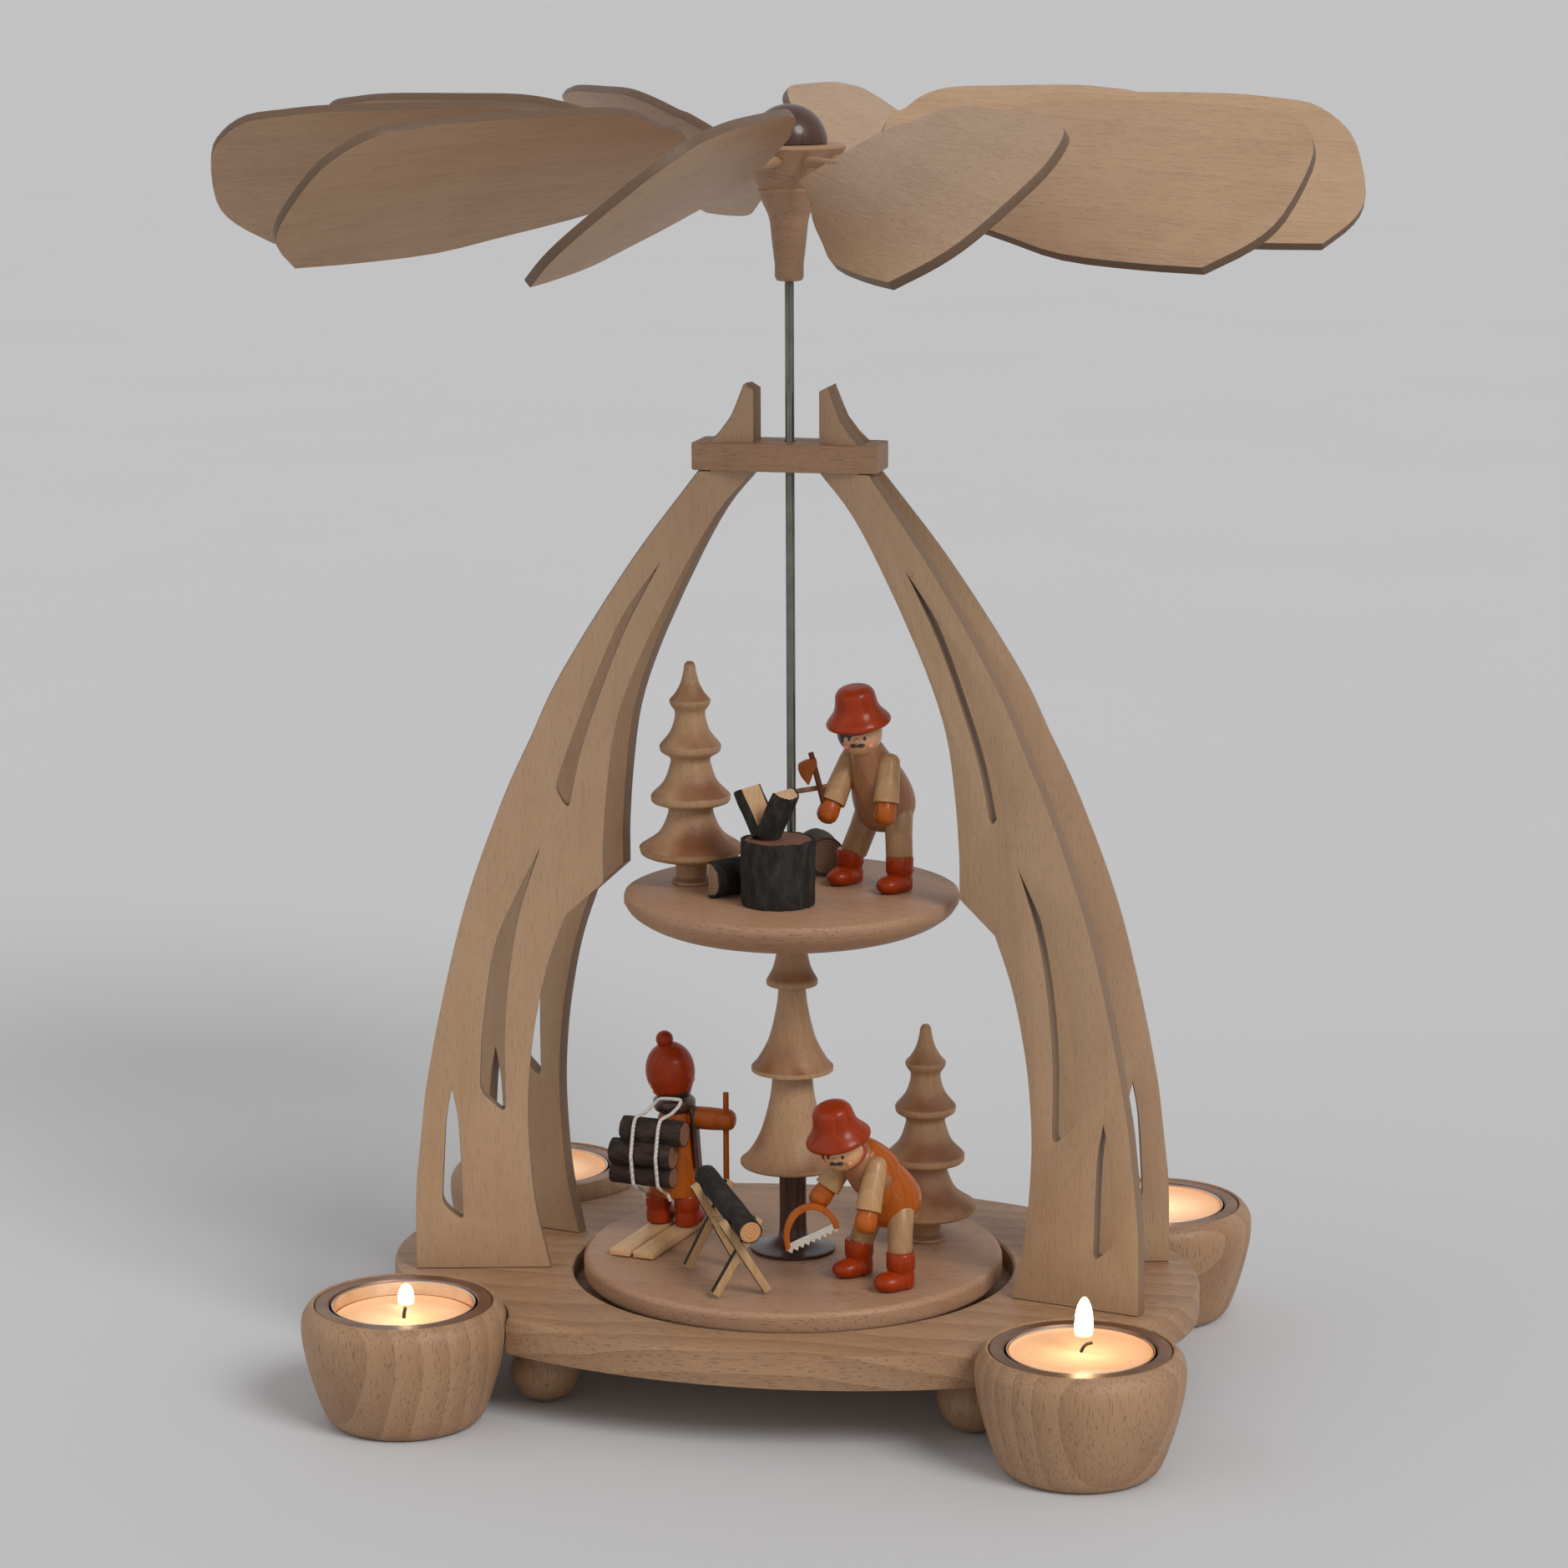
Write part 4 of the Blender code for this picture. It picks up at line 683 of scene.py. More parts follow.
class Bench:
    """Makes the raw shapes, turned, sawn and bent, in millimetres."""

    @staticmethod
    def settle(work: bmesh.types.BMesh, angle: float = 35) -> bpy.types.Mesh:
        """Ends a shape.

        Args:
            work: The open mesh.
            angle: The bend in degrees from which an edge is sharp.

        Returns:
            The mesh with smooth sides.
        """
        bmesh.ops.recalc_face_normals(work, faces=work.faces)
        mesh = bpy.data.meshes.new("shape")
        work.to_mesh(mesh)
        work.free()
        mesh.shade_smooth()
        mesh.set_sharp_from_angle(angle=math.radians(angle))
        return mesh

    @staticmethod
    def opened(data: bpy.types.ID, cutters: Sequence[bpy.types.Mesh] = ()) -> bmesh.types.BMesh:
        """An open mesh of a curve or of a shape less its cutters, all of which are used up.

        Args:
            data: The curve or the shape.
            cutters: What is taken out of it.

        Returns:
            The open mesh.
        """
        helpers = [bpy.data.objects.new("helper", each) for each in (data, *cutters)]
        for helper in helpers:
            bpy.context.scene.collection.objects.link(helper)
        for cutter in helpers[1:]:
            step = helpers[0].modifiers.new("cut", "BOOLEAN")
            step.operation = "DIFFERENCE"
            step.solver = "EXACT"
            step.object = cutter
        graph = bpy.context.evaluated_depsgraph_get()
        drawn = bpy.data.meshes.new_from_object(helpers[0].evaluated_get(graph))
        work = bmesh.new()
        work.from_mesh(drawn)
        bpy.data.batch_remove([*helpers, data, *cutters, drawn])
        return work

    @staticmethod
    def line(points: Sequence[Spot], curve: bpy.types.Curve) -> bpy.types.Spline:
        """Adds a run with straight sides to a curve.

        Args:
            points: The points of the run.
            curve: The curve.

        Returns:
            The run.
        """
        spline = curve.splines.new("POLY")
        spline.points.add(len(points) - 1)
        for point, spot in zip(spline.points, points):
            point.co = (*spot, 1)
        return spline

    @staticmethod
    def flow(points: Iterable[Spot], cuts: int = 4) -> list[Spot]:
        """A rounded run through points.

        Args:
            points: The points.
            cuts: How many steps stand between two of them.

        Returns:
            The finer run.
        """
        knots = [Vector(point) for point in points]
        padded = [2 * knots[0] - knots[1], *knots, 2 * knots[-1] - knots[-2]]
        run = []
        for before, start, end, after in zip(padded, padded[1:], padded[2:], padded[3:]):
            for cut in range(cuts):
                t = cut / cuts
                bend = 2 * start + (end - before) * t
                bend += (2 * before - 5 * start + 4 * end - after) * t * t
                bend += (3 * start - before - 3 * end + after) * t * t * t
                run.append(tuple(bend / 2))
        run.append(tuple(knots[-1]))
        return run

    @staticmethod
    def rounded(start: Vector, knot: Vector, end: Vector, steps: Sequence[float]) -> list[Spot]:
        """Points of the curve that takes the place of a corner.

        Args:
            start: Where it leaves the first side.
            knot: The corner.
            end: Where it meets the second side.
            steps: The shares of the curve that get a point.

        Returns:
            The points.
        """
        return [tuple(start * (1 - t) ** 2 + knot * 2 * t * (1 - t) + end * t * t) for t in steps]

    @staticmethod
    def eased(points: Sequence[Spot], radius: float, closed: bool = False) -> list[Spot]:
        """A run with its corners rounded.

        Args:
            points: The corners.
            radius: How far the rounding reaches along each side.
            closed: Whether the run closes on itself.

        Returns:
            The rounded run.
        """
        knots = [Vector(point) for point in points]
        count = len(knots)
        run = []
        for i, knot in enumerate(knots):
            if not closed and i in (0, count - 1):
                run.append(tuple(knot))
                continue
            back = knots[i - 1] - knot
            ahead = knots[(i + 1) % count] - knot
            reach = min(radius, back.length * 0.45, ahead.length * 0.45)
            start = knot + back.normalized() * reach
            end = knot + ahead.normalized() * reach
            run += Bench.rounded(start, knot, end, (0.0, 0.33, 0.67, 1.0))
        return run

    @staticmethod
    def softened(points: Sequence[Spot], corners: Sequence[int], radius: float) -> list[Spot]:
        """A closed run with some of its corners rounded across the short steps beside them.

        Args:
            points: The run.
            corners: Which of its points are rounded.
            radius: How far the rounding reaches along each side.

        Returns:
            The run with those corners rounded.
        """
        knots = [Vector(point) for point in points]
        count = len(knots)
        run = []
        for i, knot in enumerate(knots):
            if i not in corners:
                if min((knot - knots[corner]).length for corner in corners) >= radius:
                    run.append(tuple(knot))
                continue
            ends = []
            for way in (-1, 1):
                side = next(
                    knots[(i + way * k) % count] for k in range(1, count)
                    if (knots[(i + way * k) % count] - knot).length >= radius
                )
                ends.append(knot + (side - knot).normalized() * radius)
            run += Bench.rounded(ends[0], knot, ends[1], (0, 0.25, 0.5, 0.75, 1))
        return run

    @staticmethod
    def turned(profile: Sequence[Spot], steps: int = 64, angle: float = 35) -> bpy.types.Mesh:
        """A turned shape about Z.

        Args:
            profile: Radius and height, from the top down the outside.
            steps: How many faces run round.
            angle: The bend in degrees from which an edge is sharp.

        Returns:
            The mesh.
        """
        work = bmesh.new()
        rings = []
        for radius, height in profile:
            if radius < 1e-6:
                rings.append([work.verts.new((0, 0, height))])
                continue
            turns = (TURN * i / steps for i in range(steps))
            spots = ((radius * math.cos(a), radius * math.sin(a), height) for a in turns)
            rings.append([work.verts.new(spot) for spot in spots])
        pairs = list(zip(rings, rings[1:]))
        if len(rings[0]) > 1 and len(rings[-1]) > 1:
            pairs.append((rings[-1], rings[0]))
        for upper, lower in pairs:
            for i in range(steps):
                j = (i + 1) % steps
                places = ((upper, i), (upper, j), (lower, j), (lower, i))
                face = list(dict.fromkeys(ring[place % len(ring)] for ring, place in places))
                if len(face) > 2:
                    work.faces.new(face)
        return Bench.settle(work, angle)

    @staticmethod
    def board(
        outline: Sequence[Spot], thickness: float, ease: float = 0.3, holes: Sequence = (),
    ) -> bpy.types.Mesh:
        """A flat board, centred on its own plane.

        Args:
            outline: Its corners.
            thickness: Its thickness.
            ease: How far its edges are rounded.
            holes: The outlines of its openings.

        Returns:
            The mesh.
        """
        curve = bpy.data.curves.new("outline", "CURVE")
        curve.dimensions = "2D"
        curve.fill_mode = "BOTH"
        curve.extrude = thickness / 2
        for loop in (outline, *holes):
            Bench.line([(*spot, 0) for spot in loop], curve).use_cyclic_u = True
        work = Bench.opened(curve)
        bmesh.ops.remove_doubles(work, verts=work.verts, dist=1e-4)
        bmesh.ops.dissolve_limit(work, angle_limit=math.radians(1), verts=work.verts, edges=work.edges)
        if ease:
            rims = [edge for edge in work.edges if abs(edge.calc_face_angle(0)) > math.radians(75)]
            rims = [edge for edge in rims if abs(edge.verts[0].co.z - edge.verts[1].co.z) < 1e-3]
            bmesh.ops.bevel(
                work, geom=rims, offset=ease, segments=2, profile=0.6, affect="EDGES", clamp_overlap=True,
            )
        return Bench.settle(work, 30)

    @staticmethod
    def stick(start: Spot, end: Spot, profile: Sequence[Spot], steps: int = 32) -> bpy.types.Mesh:
        """A turned shape laid between two points.

        Args:
            start: Where it starts.
            end: Where it ends.
            profile: Radius in millimetres and share of the length, from the start on.
            steps: How many faces run round.

        Returns:
            The mesh.
        """
        run = Vector(end) - Vector(start)
        shape = [(radius, share * run.length) for radius, share in profile]
        mesh = Bench.turned([(0, shape[0][1]), *shape, (0, shape[-1][1])], steps, 40)
        mesh.transform(Matrix.Translation(start) @ aimed(run))
        return mesh

    @staticmethod
    def rod(start: Spot, end: Spot, radius: float, last: float) -> bpy.types.Mesh:
        """A round stick with eased ends.

        Args:
            start: Where it starts.
            end: Where it ends.
            radius: Its radius at the start.
            last: Its radius at the end.

        Returns:
            The mesh.
        """
        small = min(0.3, radius * 0.35) / (Vector(end) - Vector(start)).length
        profile = (
            (radius * 0.8, 0.0), (radius * 0.95, small * 0.3), (radius, small), (last, 1 - small),
            (last * 0.95, 1 - small * 0.3), (last * 0.8, 1.0),
        )
        return Bench.stick(start, end, profile)

    @staticmethod
    def ball(centre: Spot, radii: Spot, floor: float | None = None, segments: int = 32) -> bpy.types.Mesh:
        """A rounded body, flat underneath where a floor is given.

        Args:
            centre: Its centre.
            radii: Its three radii.
            floor: The height that it doesn't go below.
            segments: How many faces run round.

        Returns:
            The mesh.
        """
        work = bmesh.new()
        bmesh.ops.create_uvsphere(work, u_segments=segments, v_segments=segments // 2, radius=1)
        stretch = Matrix.Translation(centre) @ Matrix.Diagonal((*radii, 1))
        bmesh.ops.transform(work, matrix=stretch, verts=work.verts)
        if floor is not None:
            for vertex in work.verts:
                vertex.co.z = max(vertex.co.z, floor)
            bmesh.ops.remove_doubles(work, verts=work.verts, dist=1e-3)
        return Bench.settle(work, 50)

    @staticmethod
    def timber(start: Spot, end: Spot, width: float, depth: float, ease: float = 0.15) -> bpy.types.Mesh:
        """A sawn timber between two points.

        Args:
            start: Where it starts.
            end: Where it ends.
            width: Its first side.
            depth: Its second side.
            ease: How far its edges are rounded.

        Returns:
            The mesh.
        """
        run = Vector(end) - Vector(start)
        work = bmesh.new()
        bmesh.ops.create_cube(work, size=1)
        size = Matrix.Diagonal((width, depth, run.length, 1))
        stretch = Matrix.Translation(Vector(start) + run / 2) @ aimed(run) @ size
        bmesh.ops.transform(work, matrix=stretch, verts=work.verts)
        bmesh.ops.bevel(work, geom=list(work.edges), offset=ease, segments=2, profile=0.6, affect="EDGES")
        return Bench.settle(work, 30)

    @staticmethod
    def tube(points: Sequence[Spot], radius: float) -> bpy.types.Mesh:
        """A round cord or wire.

        Args:
            points: The points that it follows.
            radius: Its radius.

        Returns:
            The mesh.
        """
        curve = bpy.data.curves.new("run", "CURVE")
        curve.dimensions = "3D"
        curve.bevel_depth = radius
        curve.bevel_resolution = 3
        curve.use_fill_caps = True
        Bench.line(points, curve)
        work = Bench.opened(curve)
        bmesh.ops.remove_doubles(work, verts=work.verts, dist=1e-4)
        return Bench.settle(work, 50)

    @staticmethod
    def roughened(mesh: bpy.types.Mesh, depth: float, seed: float) -> bpy.types.Mesh:
        """A log's skin with shallow furrows along Z.

        Args:
            mesh: The shape.
            depth: How deep the furrows are.
            seed: Where the pattern starts.

        Returns:
            The same mesh.
        """
        stretch = Axis.Z.sides(0.12, 0.9)
        for vertex in mesh.vertices:
            where = Vector([a * b for a, b in zip(vertex.co, stretch)]) + Vector((seed, seed, seed))
            vertex.co += vertex.normal * depth * (0.5 + noise.noise(where) + 0.5 * noise.noise(where * 2.3))
        return mesh


class Piece:
    """One piece of the object, put together from shapes with their finishes."""

    def __init__(self, name: str, body: str, spot: Spot = (0, 0, 0), turn: float = 0.0) -> None:
        """Starts a piece.

        Args:
            name: Its name.
            body: The moving or fixed body that it rides on.
            spot: Where its own origin stands, in millimetres.
            turn: How far it is turned about the vertical.
        """
        self.name = name
        self.body = body
        self.home = Matrix.Translation(Vector(spot) * MM) @ Matrix.Rotation(turn, 4, "Z")
        self.finishes: list[Finish] = []
        self.work = bmesh.new()

    def add(self, mesh: bpy.types.Mesh, finish: Finish, *moves: Matrix) -> "Piece":
        """Adds one shape.

        Args:
            mesh: The shape, which is used up.
            finish: How it looks.
            moves: How it is moved first, one move after the other.

        Returns:
            The piece.
        """
        if finish not in self.finishes:
            self.finishes.append(finish)
        place = self.finishes.index(finish)
        for move in moves:
            mesh.transform(move)
        for face in mesh.polygons:
            face.material_index = place
        self.work.from_mesh(mesh)
        bpy.data.meshes.remove(mesh)
        return self

    def add_all(self, parts: Iterable[Dressed], *moves: Matrix) -> "Piece":
        """Adds shapes that are moved alike.

        Args:
            parts: The shapes with their finishes.
            moves: How they are moved first.

        Returns:
            The piece.
        """
        for mesh, finish in parts:
            self.add(mesh, finish, *moves)
        return self

    def done(self, *nodes: str, slot: str = "") -> bpy.types.Object:
        """Ends the piece and lets it ride.

        Args:
            nodes: The solids that it stands for.
            slot: The material slot of the record; it is not used.

        Returns:
            The object.
        """
        mesh = bpy.data.meshes.new(self.name)
        self.work.to_mesh(mesh)
        self.work.free()
        mesh.transform(Matrix.Scale(MM, 4))
        for finish in self.finishes:
            mesh.materials.append(finish.material())
        made = bpy.data.objects.new(self.name, mesh)
        made.matrix_world = self.home
        bpy.context.scene.collection.objects.link(made)
        bpy.context.view_layer.update()
        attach(made, self.body)
        if nodes:
            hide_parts(*nodes)
        log.info("%s rides on %s with %d faces", self.name, self.body, len(mesh.polygons))
        return made


@dataclass
class BasePlate:
    """The table plate with its round recess, the pit of the shaft and the ball feet."""

    top: float = 28.5
    thickness: float = 10.0
    length: float = 222.0
    depth: float = 153.0
    front_radius: float = 159.0
    lobe_radius: float = 57.0
    recess_radius: float = 60.0
    recess_depth: float = 6.0
    boss_radius: float = 5.0
    boss_height: float = 2.0
    pit_radius: float = 1.5
    pit_floor: float = 0.8
    notch: float = 27.2
    foot_spot: Spot = (58.3, 42.8)
    foot_radius: float = 9.75

    @staticmethod
    def meet(first: Spot, first_radius: float, second: Spot, second_radius: float, side: int) -> Vector:
        """Where two circles cross.

        Args:
            first: The first centre.
            first_radius: The first radius.
            second: The second centre.
            second_radius: The second radius.
            side: Which of the two crossings.

        Returns:
            The crossing.
        """
        line = Vector(second) - Vector(first)
        along = (first_radius**2 - second_radius**2 + line.length_squared) / (2 * line.length)
        across = math.sqrt(first_radius**2 - along**2)
        unit = line.normalized()
        return Vector(first) + unit * along + side * across * Vector((-unit.y, unit.x))

    def outline(self) -> list[Spot]:
        """The plate's outline.

        Returns:
            Its points, anticlockwise.
        """
        lobe = (self.length / 2 - self.lobe_radius, 0)
        side = (0, self.depth / 2 - self.front_radius)
        low = self.meet(lobe, self.lobe_radius, CUP_SPOT, self.notch, -1)
        high = self.meet(side, self.front_radius, CUP_SPOT, self.notch, 1)
        angles = [
            math.atan2(point[1] - centre[1], point[0] - centre[0])
            for point, centre in ((low, lobe), (low, CUP_SPOT), (high, CUP_SPOT), (high, side))
        ]
        run = arc(lobe, self.lobe_radius, 0, angles[0], 12)
        run += arc(CUP_SPOT, self.notch, angles[1], angles[2], 24)[1:]
        run += arc(side, self.front_radius, angles[3], TURN / 4, 16)[1:]
        half = run + [(-x, y) for x, y in reversed(run)][1:]
        return half + [(x, -y) for x, y in reversed(half)][1:-1]

    def build(self) -> None:
        """Builds and dresses the plate and its feet."""
        slab = Bench.board(self.outline(), self.thickness, 1.6)
        slab.transform(Matrix.Translation((0, 0, self.top - self.thickness / 2)))
        floor = self.top - self.recess_depth
        boss = floor + self.boss_height
        pit = floor + self.pit_floor
        mouth = self.recess_radius + 0.6
        recess = Bench.turned(
            [(0, self.top + 5), (mouth, self.top + 5), (mouth, self.top),
             (self.recess_radius, self.top - 0.6), (self.recess_radius, floor), (self.boss_radius, floor),
             (self.boss_radius, boss), (self.pit_radius, boss), (self.pit_radius, pit), (0, pit)], 128,
        )
        plate = Piece("plate", "base").add(Bench.settle(Bench.opened(slab, [recess])), BEECH_BOARD)
        plate.done("base_plate", slot="beech")
        height = self.top - self.thickness - GAP
        table = ((0.31, 1), (0.72, 0.86), (0.93, 0.66), (1, 0.5), (0.93, 0.34), (0.72, 0.14), (0.31, 0))
        profile = Bench.flow(shares(table, self.foot_radius, height))
        for corner, (side, depth) in CORNERS.items():
            foot = Piece(f"foot_{corner}", "base", (side * self.foot_spot[0], depth * self.foot_spot[1], 0))
            foot.add(Bench.turned([(0, height), *profile, (0, 0)], 40), BEECH)
            foot.done(f"ball_foot_{corner}", slot="beech")


@dataclass(frozen=True)
class Light:
    """One lit tealight: how it stands in its cup, how far it has burned down, its wick and its flame."""

    turn: float
    lean: float
    radius: float
    height: float
    burnt: float = 1.4
    lift: float = 1.5
    bend: Sequence[Spot] = ((0.5, 1.3), (1.35, 2.35), (3.0, 2.85))
    wick_radius: float = 0.42


@dataclass
class CandleCups:
    """Turned cups with a metal insert, and the lit tealights that stand in them."""

    radius: float = 26.9
    height: float = 32.3
    rim: float = 1.0
    seat_radius: float = 20.2
    seat_depth: float = 16.7
    flange: float = 23.3
    bore: float = 19.5
    insert_depth: float = 16.0
    shell: float = 19.0
    shell_height: float = 15.4
    shell_depth: float = 15.8
    wax_depth: float = 15.2

    def cup(self) -> bpy.types.Mesh:
        """The wooden cup.

        Returns:
            The mesh.
        """
        table = (
            (0.914, 1), (0.993, 0.898), (1, 0.743), (0.963, 0.557), (0.888, 0.319), (0.788, 0.087),
            (0.688, 0),
        )
        outer = Bench.flow(shares(table, self.radius, self.height))
        mouth = self.radius * table[0][0] - self.rim
        step = self.height - 1
        floor = self.height - self.seat_depth
        inner = [
            (0, floor), (self.seat_radius, floor), (self.seat_radius, step), (mouth, step),
            (mouth, self.height - 0.15),
        ]
        lip = [(mouth + 0.2, self.height), (outer[0][0] - 0.3, self.height)]
        return Bench.turned([*inner, *lip, *outer[1:-1], (outer[-1][0] - 0.4, 0), (0, 0)], 96, 40)

    def insert(self) -> bpy.types.Mesh:
        """The pressed metal insert with its flange.

        Returns:
            The mesh.
        """
        top = self.height - GAP
        low = self.height - self.insert_depth
        outside = self.bore + 0.45
        profile = [
            (0, low), (self.bore, low), (self.bore, top - 0.5), (self.bore + 0.4, top),
            (self.flange - 0.3, top), (self.flange, top - 0.3), (self.flange - 0.2, top - 0.6),
            (outside, top - 0.6), (outside, low - 0.45), (0, low - 0.45),
        ]
        return Bench.turned(profile, 96, 30)

    def tray(self) -> bpy.types.Mesh:
        """The tealight's aluminium shell with a rolled rim.

        Returns:
            The mesh.
        """
        low = self.height - self.shell_depth
        top = low + self.shell_height
        inside = self.shell - 0.4
        profile = [
            (0, low + 0.4), (inside, low + 0.4), (inside, top - 0.6), (inside - 0.1, top - 0.2),
            (inside + 0.15, top), (self.shell - 0.1, top), (self.shell, top - 0.3),
            (self.shell - 0.2, top - 0.8), (self.shell - 0.2, low + 0.8), (self.shell - 0.8, low), (0, low),
        ]
        return Bench.turned(profile, 120, 30)

    def wax(self, top: float) -> bpy.types.Mesh:
        """The wax, which stands up at the wall and in a soft mound at the wick.

        Args:
            top: The height of its surface.

        Returns:
            The mesh.
        """
        low = self.height - self.wax_depth
        edge = self.shell - 0.7
        profile = [
            (0, top + 0.35), (1.2, top + 0.3), (2.4, top + 0.05), (5, top - 0.1), (11, top - 0.1),
            (15.5, top), (edge - 0.9, top + 0.08), (edge - 0.3, top + 0.3), (edge, top + 0.75), (edge, low),
            (0, low),
        ]
        return Bench.turned(profile, 72, 50)

    @staticmethod
    def flame(light: Light) -> bpy.types.Mesh:
        """The flame's blunt drop.

        Args:
            light: The tealight that it burns on.

        Returns:
            The mesh, its foot at the origin.
        """
        table = (
            (0.08, 1.0), (0.22, 0.985), (0.38, 0.95), (0.56, 0.895), (0.76, 0.8), (0.92, 0.66), (1.0, 0.46),
            (0.98, 0.3), (0.86, 0.14), (0.62, 0.05), (0.3, 0.0),
        )
        profile = Bench.flow(shares(table, light.radius, light.height), 3)
        mesh = Bench.turned([(0, light.height * 1.005), *profile, (0, 0)], 32, 180)
        for vertex in mesh.vertices:
            share = vertex.co.z / light.height
            vertex.co.x += light.lean * share * share
        return mesh

    def build(self) -> None:
        """Builds and dresses the four cups and their tealights."""
        lights = {
            "fl": Light(0.3, 0.1, 2.1, 7.2, 4.9, 2.6, ((0.1, 1.6), (0.5, 3.3)), 0.5),
            "fr": Light(1.7, 0.15, 2.35, 13.5),
            "rl": Light(2.6, 0.3, 2.2, 9.0),
            "rr": Light(4.4, -0.25, 2.2, 9.4),
        }
        for corner, light in lights.items():
            spot = [side * reach for side, reach in zip(CORNERS[corner], CUP_SPOT)]
            body = f"tealight_{corner}"
            for name, rides, mesh, finish, node, slot in (
                ("cup", "base", self.cup(), CUP_WOOD, "candle_cup", "beech"),
                ("insert", "base", self.insert(), FLANGE, "cup_insert", "aluminium"),
                ("tray", body, self.tray(), ALUMINIUM, "tealight_shell", "aluminium"),
            ):
                piece = Piece(f"{name}_{corner}", rides, (*spot, 0), light.turn).add(mesh, finish)
                piece.done(f"{node}_{corner}", slot=slot)
            top = self.height - light.burnt
            heading = FRONT - light.turn
            wick = [
                (out * math.cos(heading), out * math.sin(heading), top + rise)
                for out, rise in ((0.0, 0.0), *light.bend)
            ]
            wax = Piece(f"wax_{corner}", body, (*spot, 0), light.turn)
            wax.add(self.wax(top), Wax("candle wax", self.shell))
            wax.add(Bench.tube(Bench.flow(wick), light.wick_radius), WICK)
            wax.done(f"tealight_wax_{corner}", slot="wax")
            flame = Piece(f"flame_{corner}", body, (spot[0] + 0.7, spot[1], top + light.lift))
            flame.add(self.flame(light), Flame(f"candle flame {corner}", light.height)).done()


@dataclass
class Frame:
    """The four curved legs with their leaf slots, and the bar that ties them."""

    foot: float = 28.7
    reach: float = 102.5
    rise: float = 217.5
    thickness: float = 4.4
    angle: float = math.radians(14)
    bar_foot: float = 246.4
    bar_length: float = 50.0
    bar_width: float = 15.0
    bar_bow: float = 1.1
    bar_thickness: float = 7.5
    bore: float = 1.7

    def leg(self) -> bpy.types.Mesh:
        """One leg, drawn flat.

        Returns:
            The mesh.
        """
        outer = (
            (1, 0), (0.997, 0.099), (0.981, 0.172), (0.963, 0.239), (0.917, 0.347), (0.852, 0.467),
            (0.755, 0.592), (0.675, 0.674), (0.612, 0.738), (0.504, 0.823), (0.383, 0.908), (0.234, 1),
        )
        upper = (
            (0.093, 1), (0.19, 0.948), (0.291, 0.867), (0.393, 0.77), (0.452, 0.694), (0.478, 0.618),
            (0.491, 0.545), (0.492, 0.492),
        )
        lower = (
            (0.592, 0.451), (0.634, 0.398), (0.663, 0.345), (0.687, 0.278), (0.698, 0.205), (0.693, 0.136),
            (0.678, 0.071), (0.644, 0),
        )
        top = self.rise + self.bar_thickness
        tip = [
            (21, self.rise), (21, top), (18.5, top + 2.5), (15.6, top + 6.4), (14.2, top + 9.6),
            (12.1, top + 15), (9.6, top + 13.7), (9.6, self.rise),
        ]
        outline = [
            *Bench.flow(shares(outer, self.reach, self.rise)), *tip,
            *Bench.flow(shares(upper, self.reach, self.rise))[1:],
            *Bench.flow(shares(lower, self.reach, self.rise)),
        ]
        slots = (
            ((0.341, 0.885), (0.434, 0.823), (0.512, 0.742), (0.578, 0.662), (0.615, 0.611),
             (0.581, 0.583), (0.546, 0.658), (0.49, 0.735), (0.425, 0.81)),
            ((0.659, 0.533), (0.727, 0.47), (0.781, 0.408), (0.814, 0.307), (0.824, 0.228),
             (0.757, 0.199), (0.754, 0.323), (0.719, 0.442)),
            ((0.898, 0.232), (0.912, 0.198), (0.919, 0.163), (0.929, 0.084), (0.873, 0.06),
             (0.879, 0.159), (0.885, 0.2)),
        )
        holes = []
        for slot, outside in zip(slots, (5, 5, 4)):
            points = shares(slot, self.reach, self.rise)
            out = Bench.flow(points[:outside])
            back = Bench.flow([*points[outside:], points[0]])
            holes.append(Bench.softened([*out, *back[:-1]], (len(out) - 1, len(out)), 2.6))
        return Bench.board(outline, self.thickness, 0.35, holes)

    def build(self) -> None:
        """Builds and dresses the legs and the bar."""
        headings = {
            "fl": TURN / 2 + self.angle, "fr": -self.angle, "rl": TURN / 2 - self.angle, "rr": self.angle,
        }
        for corner, heading in headings.items():
            leg = Piece(f"side_{corner}", "base", (0, 0, self.foot), heading).add(self.leg(), MAPLE)
            leg.home = leg.home @ LAID
            leg.done(f"leg_{corner}", slot="maple")
        half = self.bar_length / 2
        bow = [
            (half * s, self.bar_width / 2 + self.bar_bow * (1 - s * s))
            for s in (1 - i / 10 for i in range(21))
        ]
        outline = Bench.eased(bow + [(x, -y) for x, y in reversed(bow)], 0.8, True)
        height = self.bar_thickness - GAP
        cutters = []
        for heading in headings.values():
            sides = (self.thickness + GAP, 2 * self.bar_thickness)
            cutter = Bench.timber((9.5, 0, 0), (21.1, 0, 0), *sides, 0.05)
            cutter.transform(Matrix.Rotation(heading, 4, "Z"))
            cutters.append(cutter)
        cutters.append(Bench.turned([(0, 9), (self.bore, 9), (self.bore, -9), (0, -9)], 32))
        cut = Bench.settle(Bench.opened(Bench.board(outline, height, 0.5), cutters))
        bar = Piece("tie_bar", "base", (0, 0, self.bar_foot + height / 2))
        # The bar takes the beech with painted shade.
        bar.add(cut, PAINTED_SHADE_BEECH).done("top_bar", slot="beech")


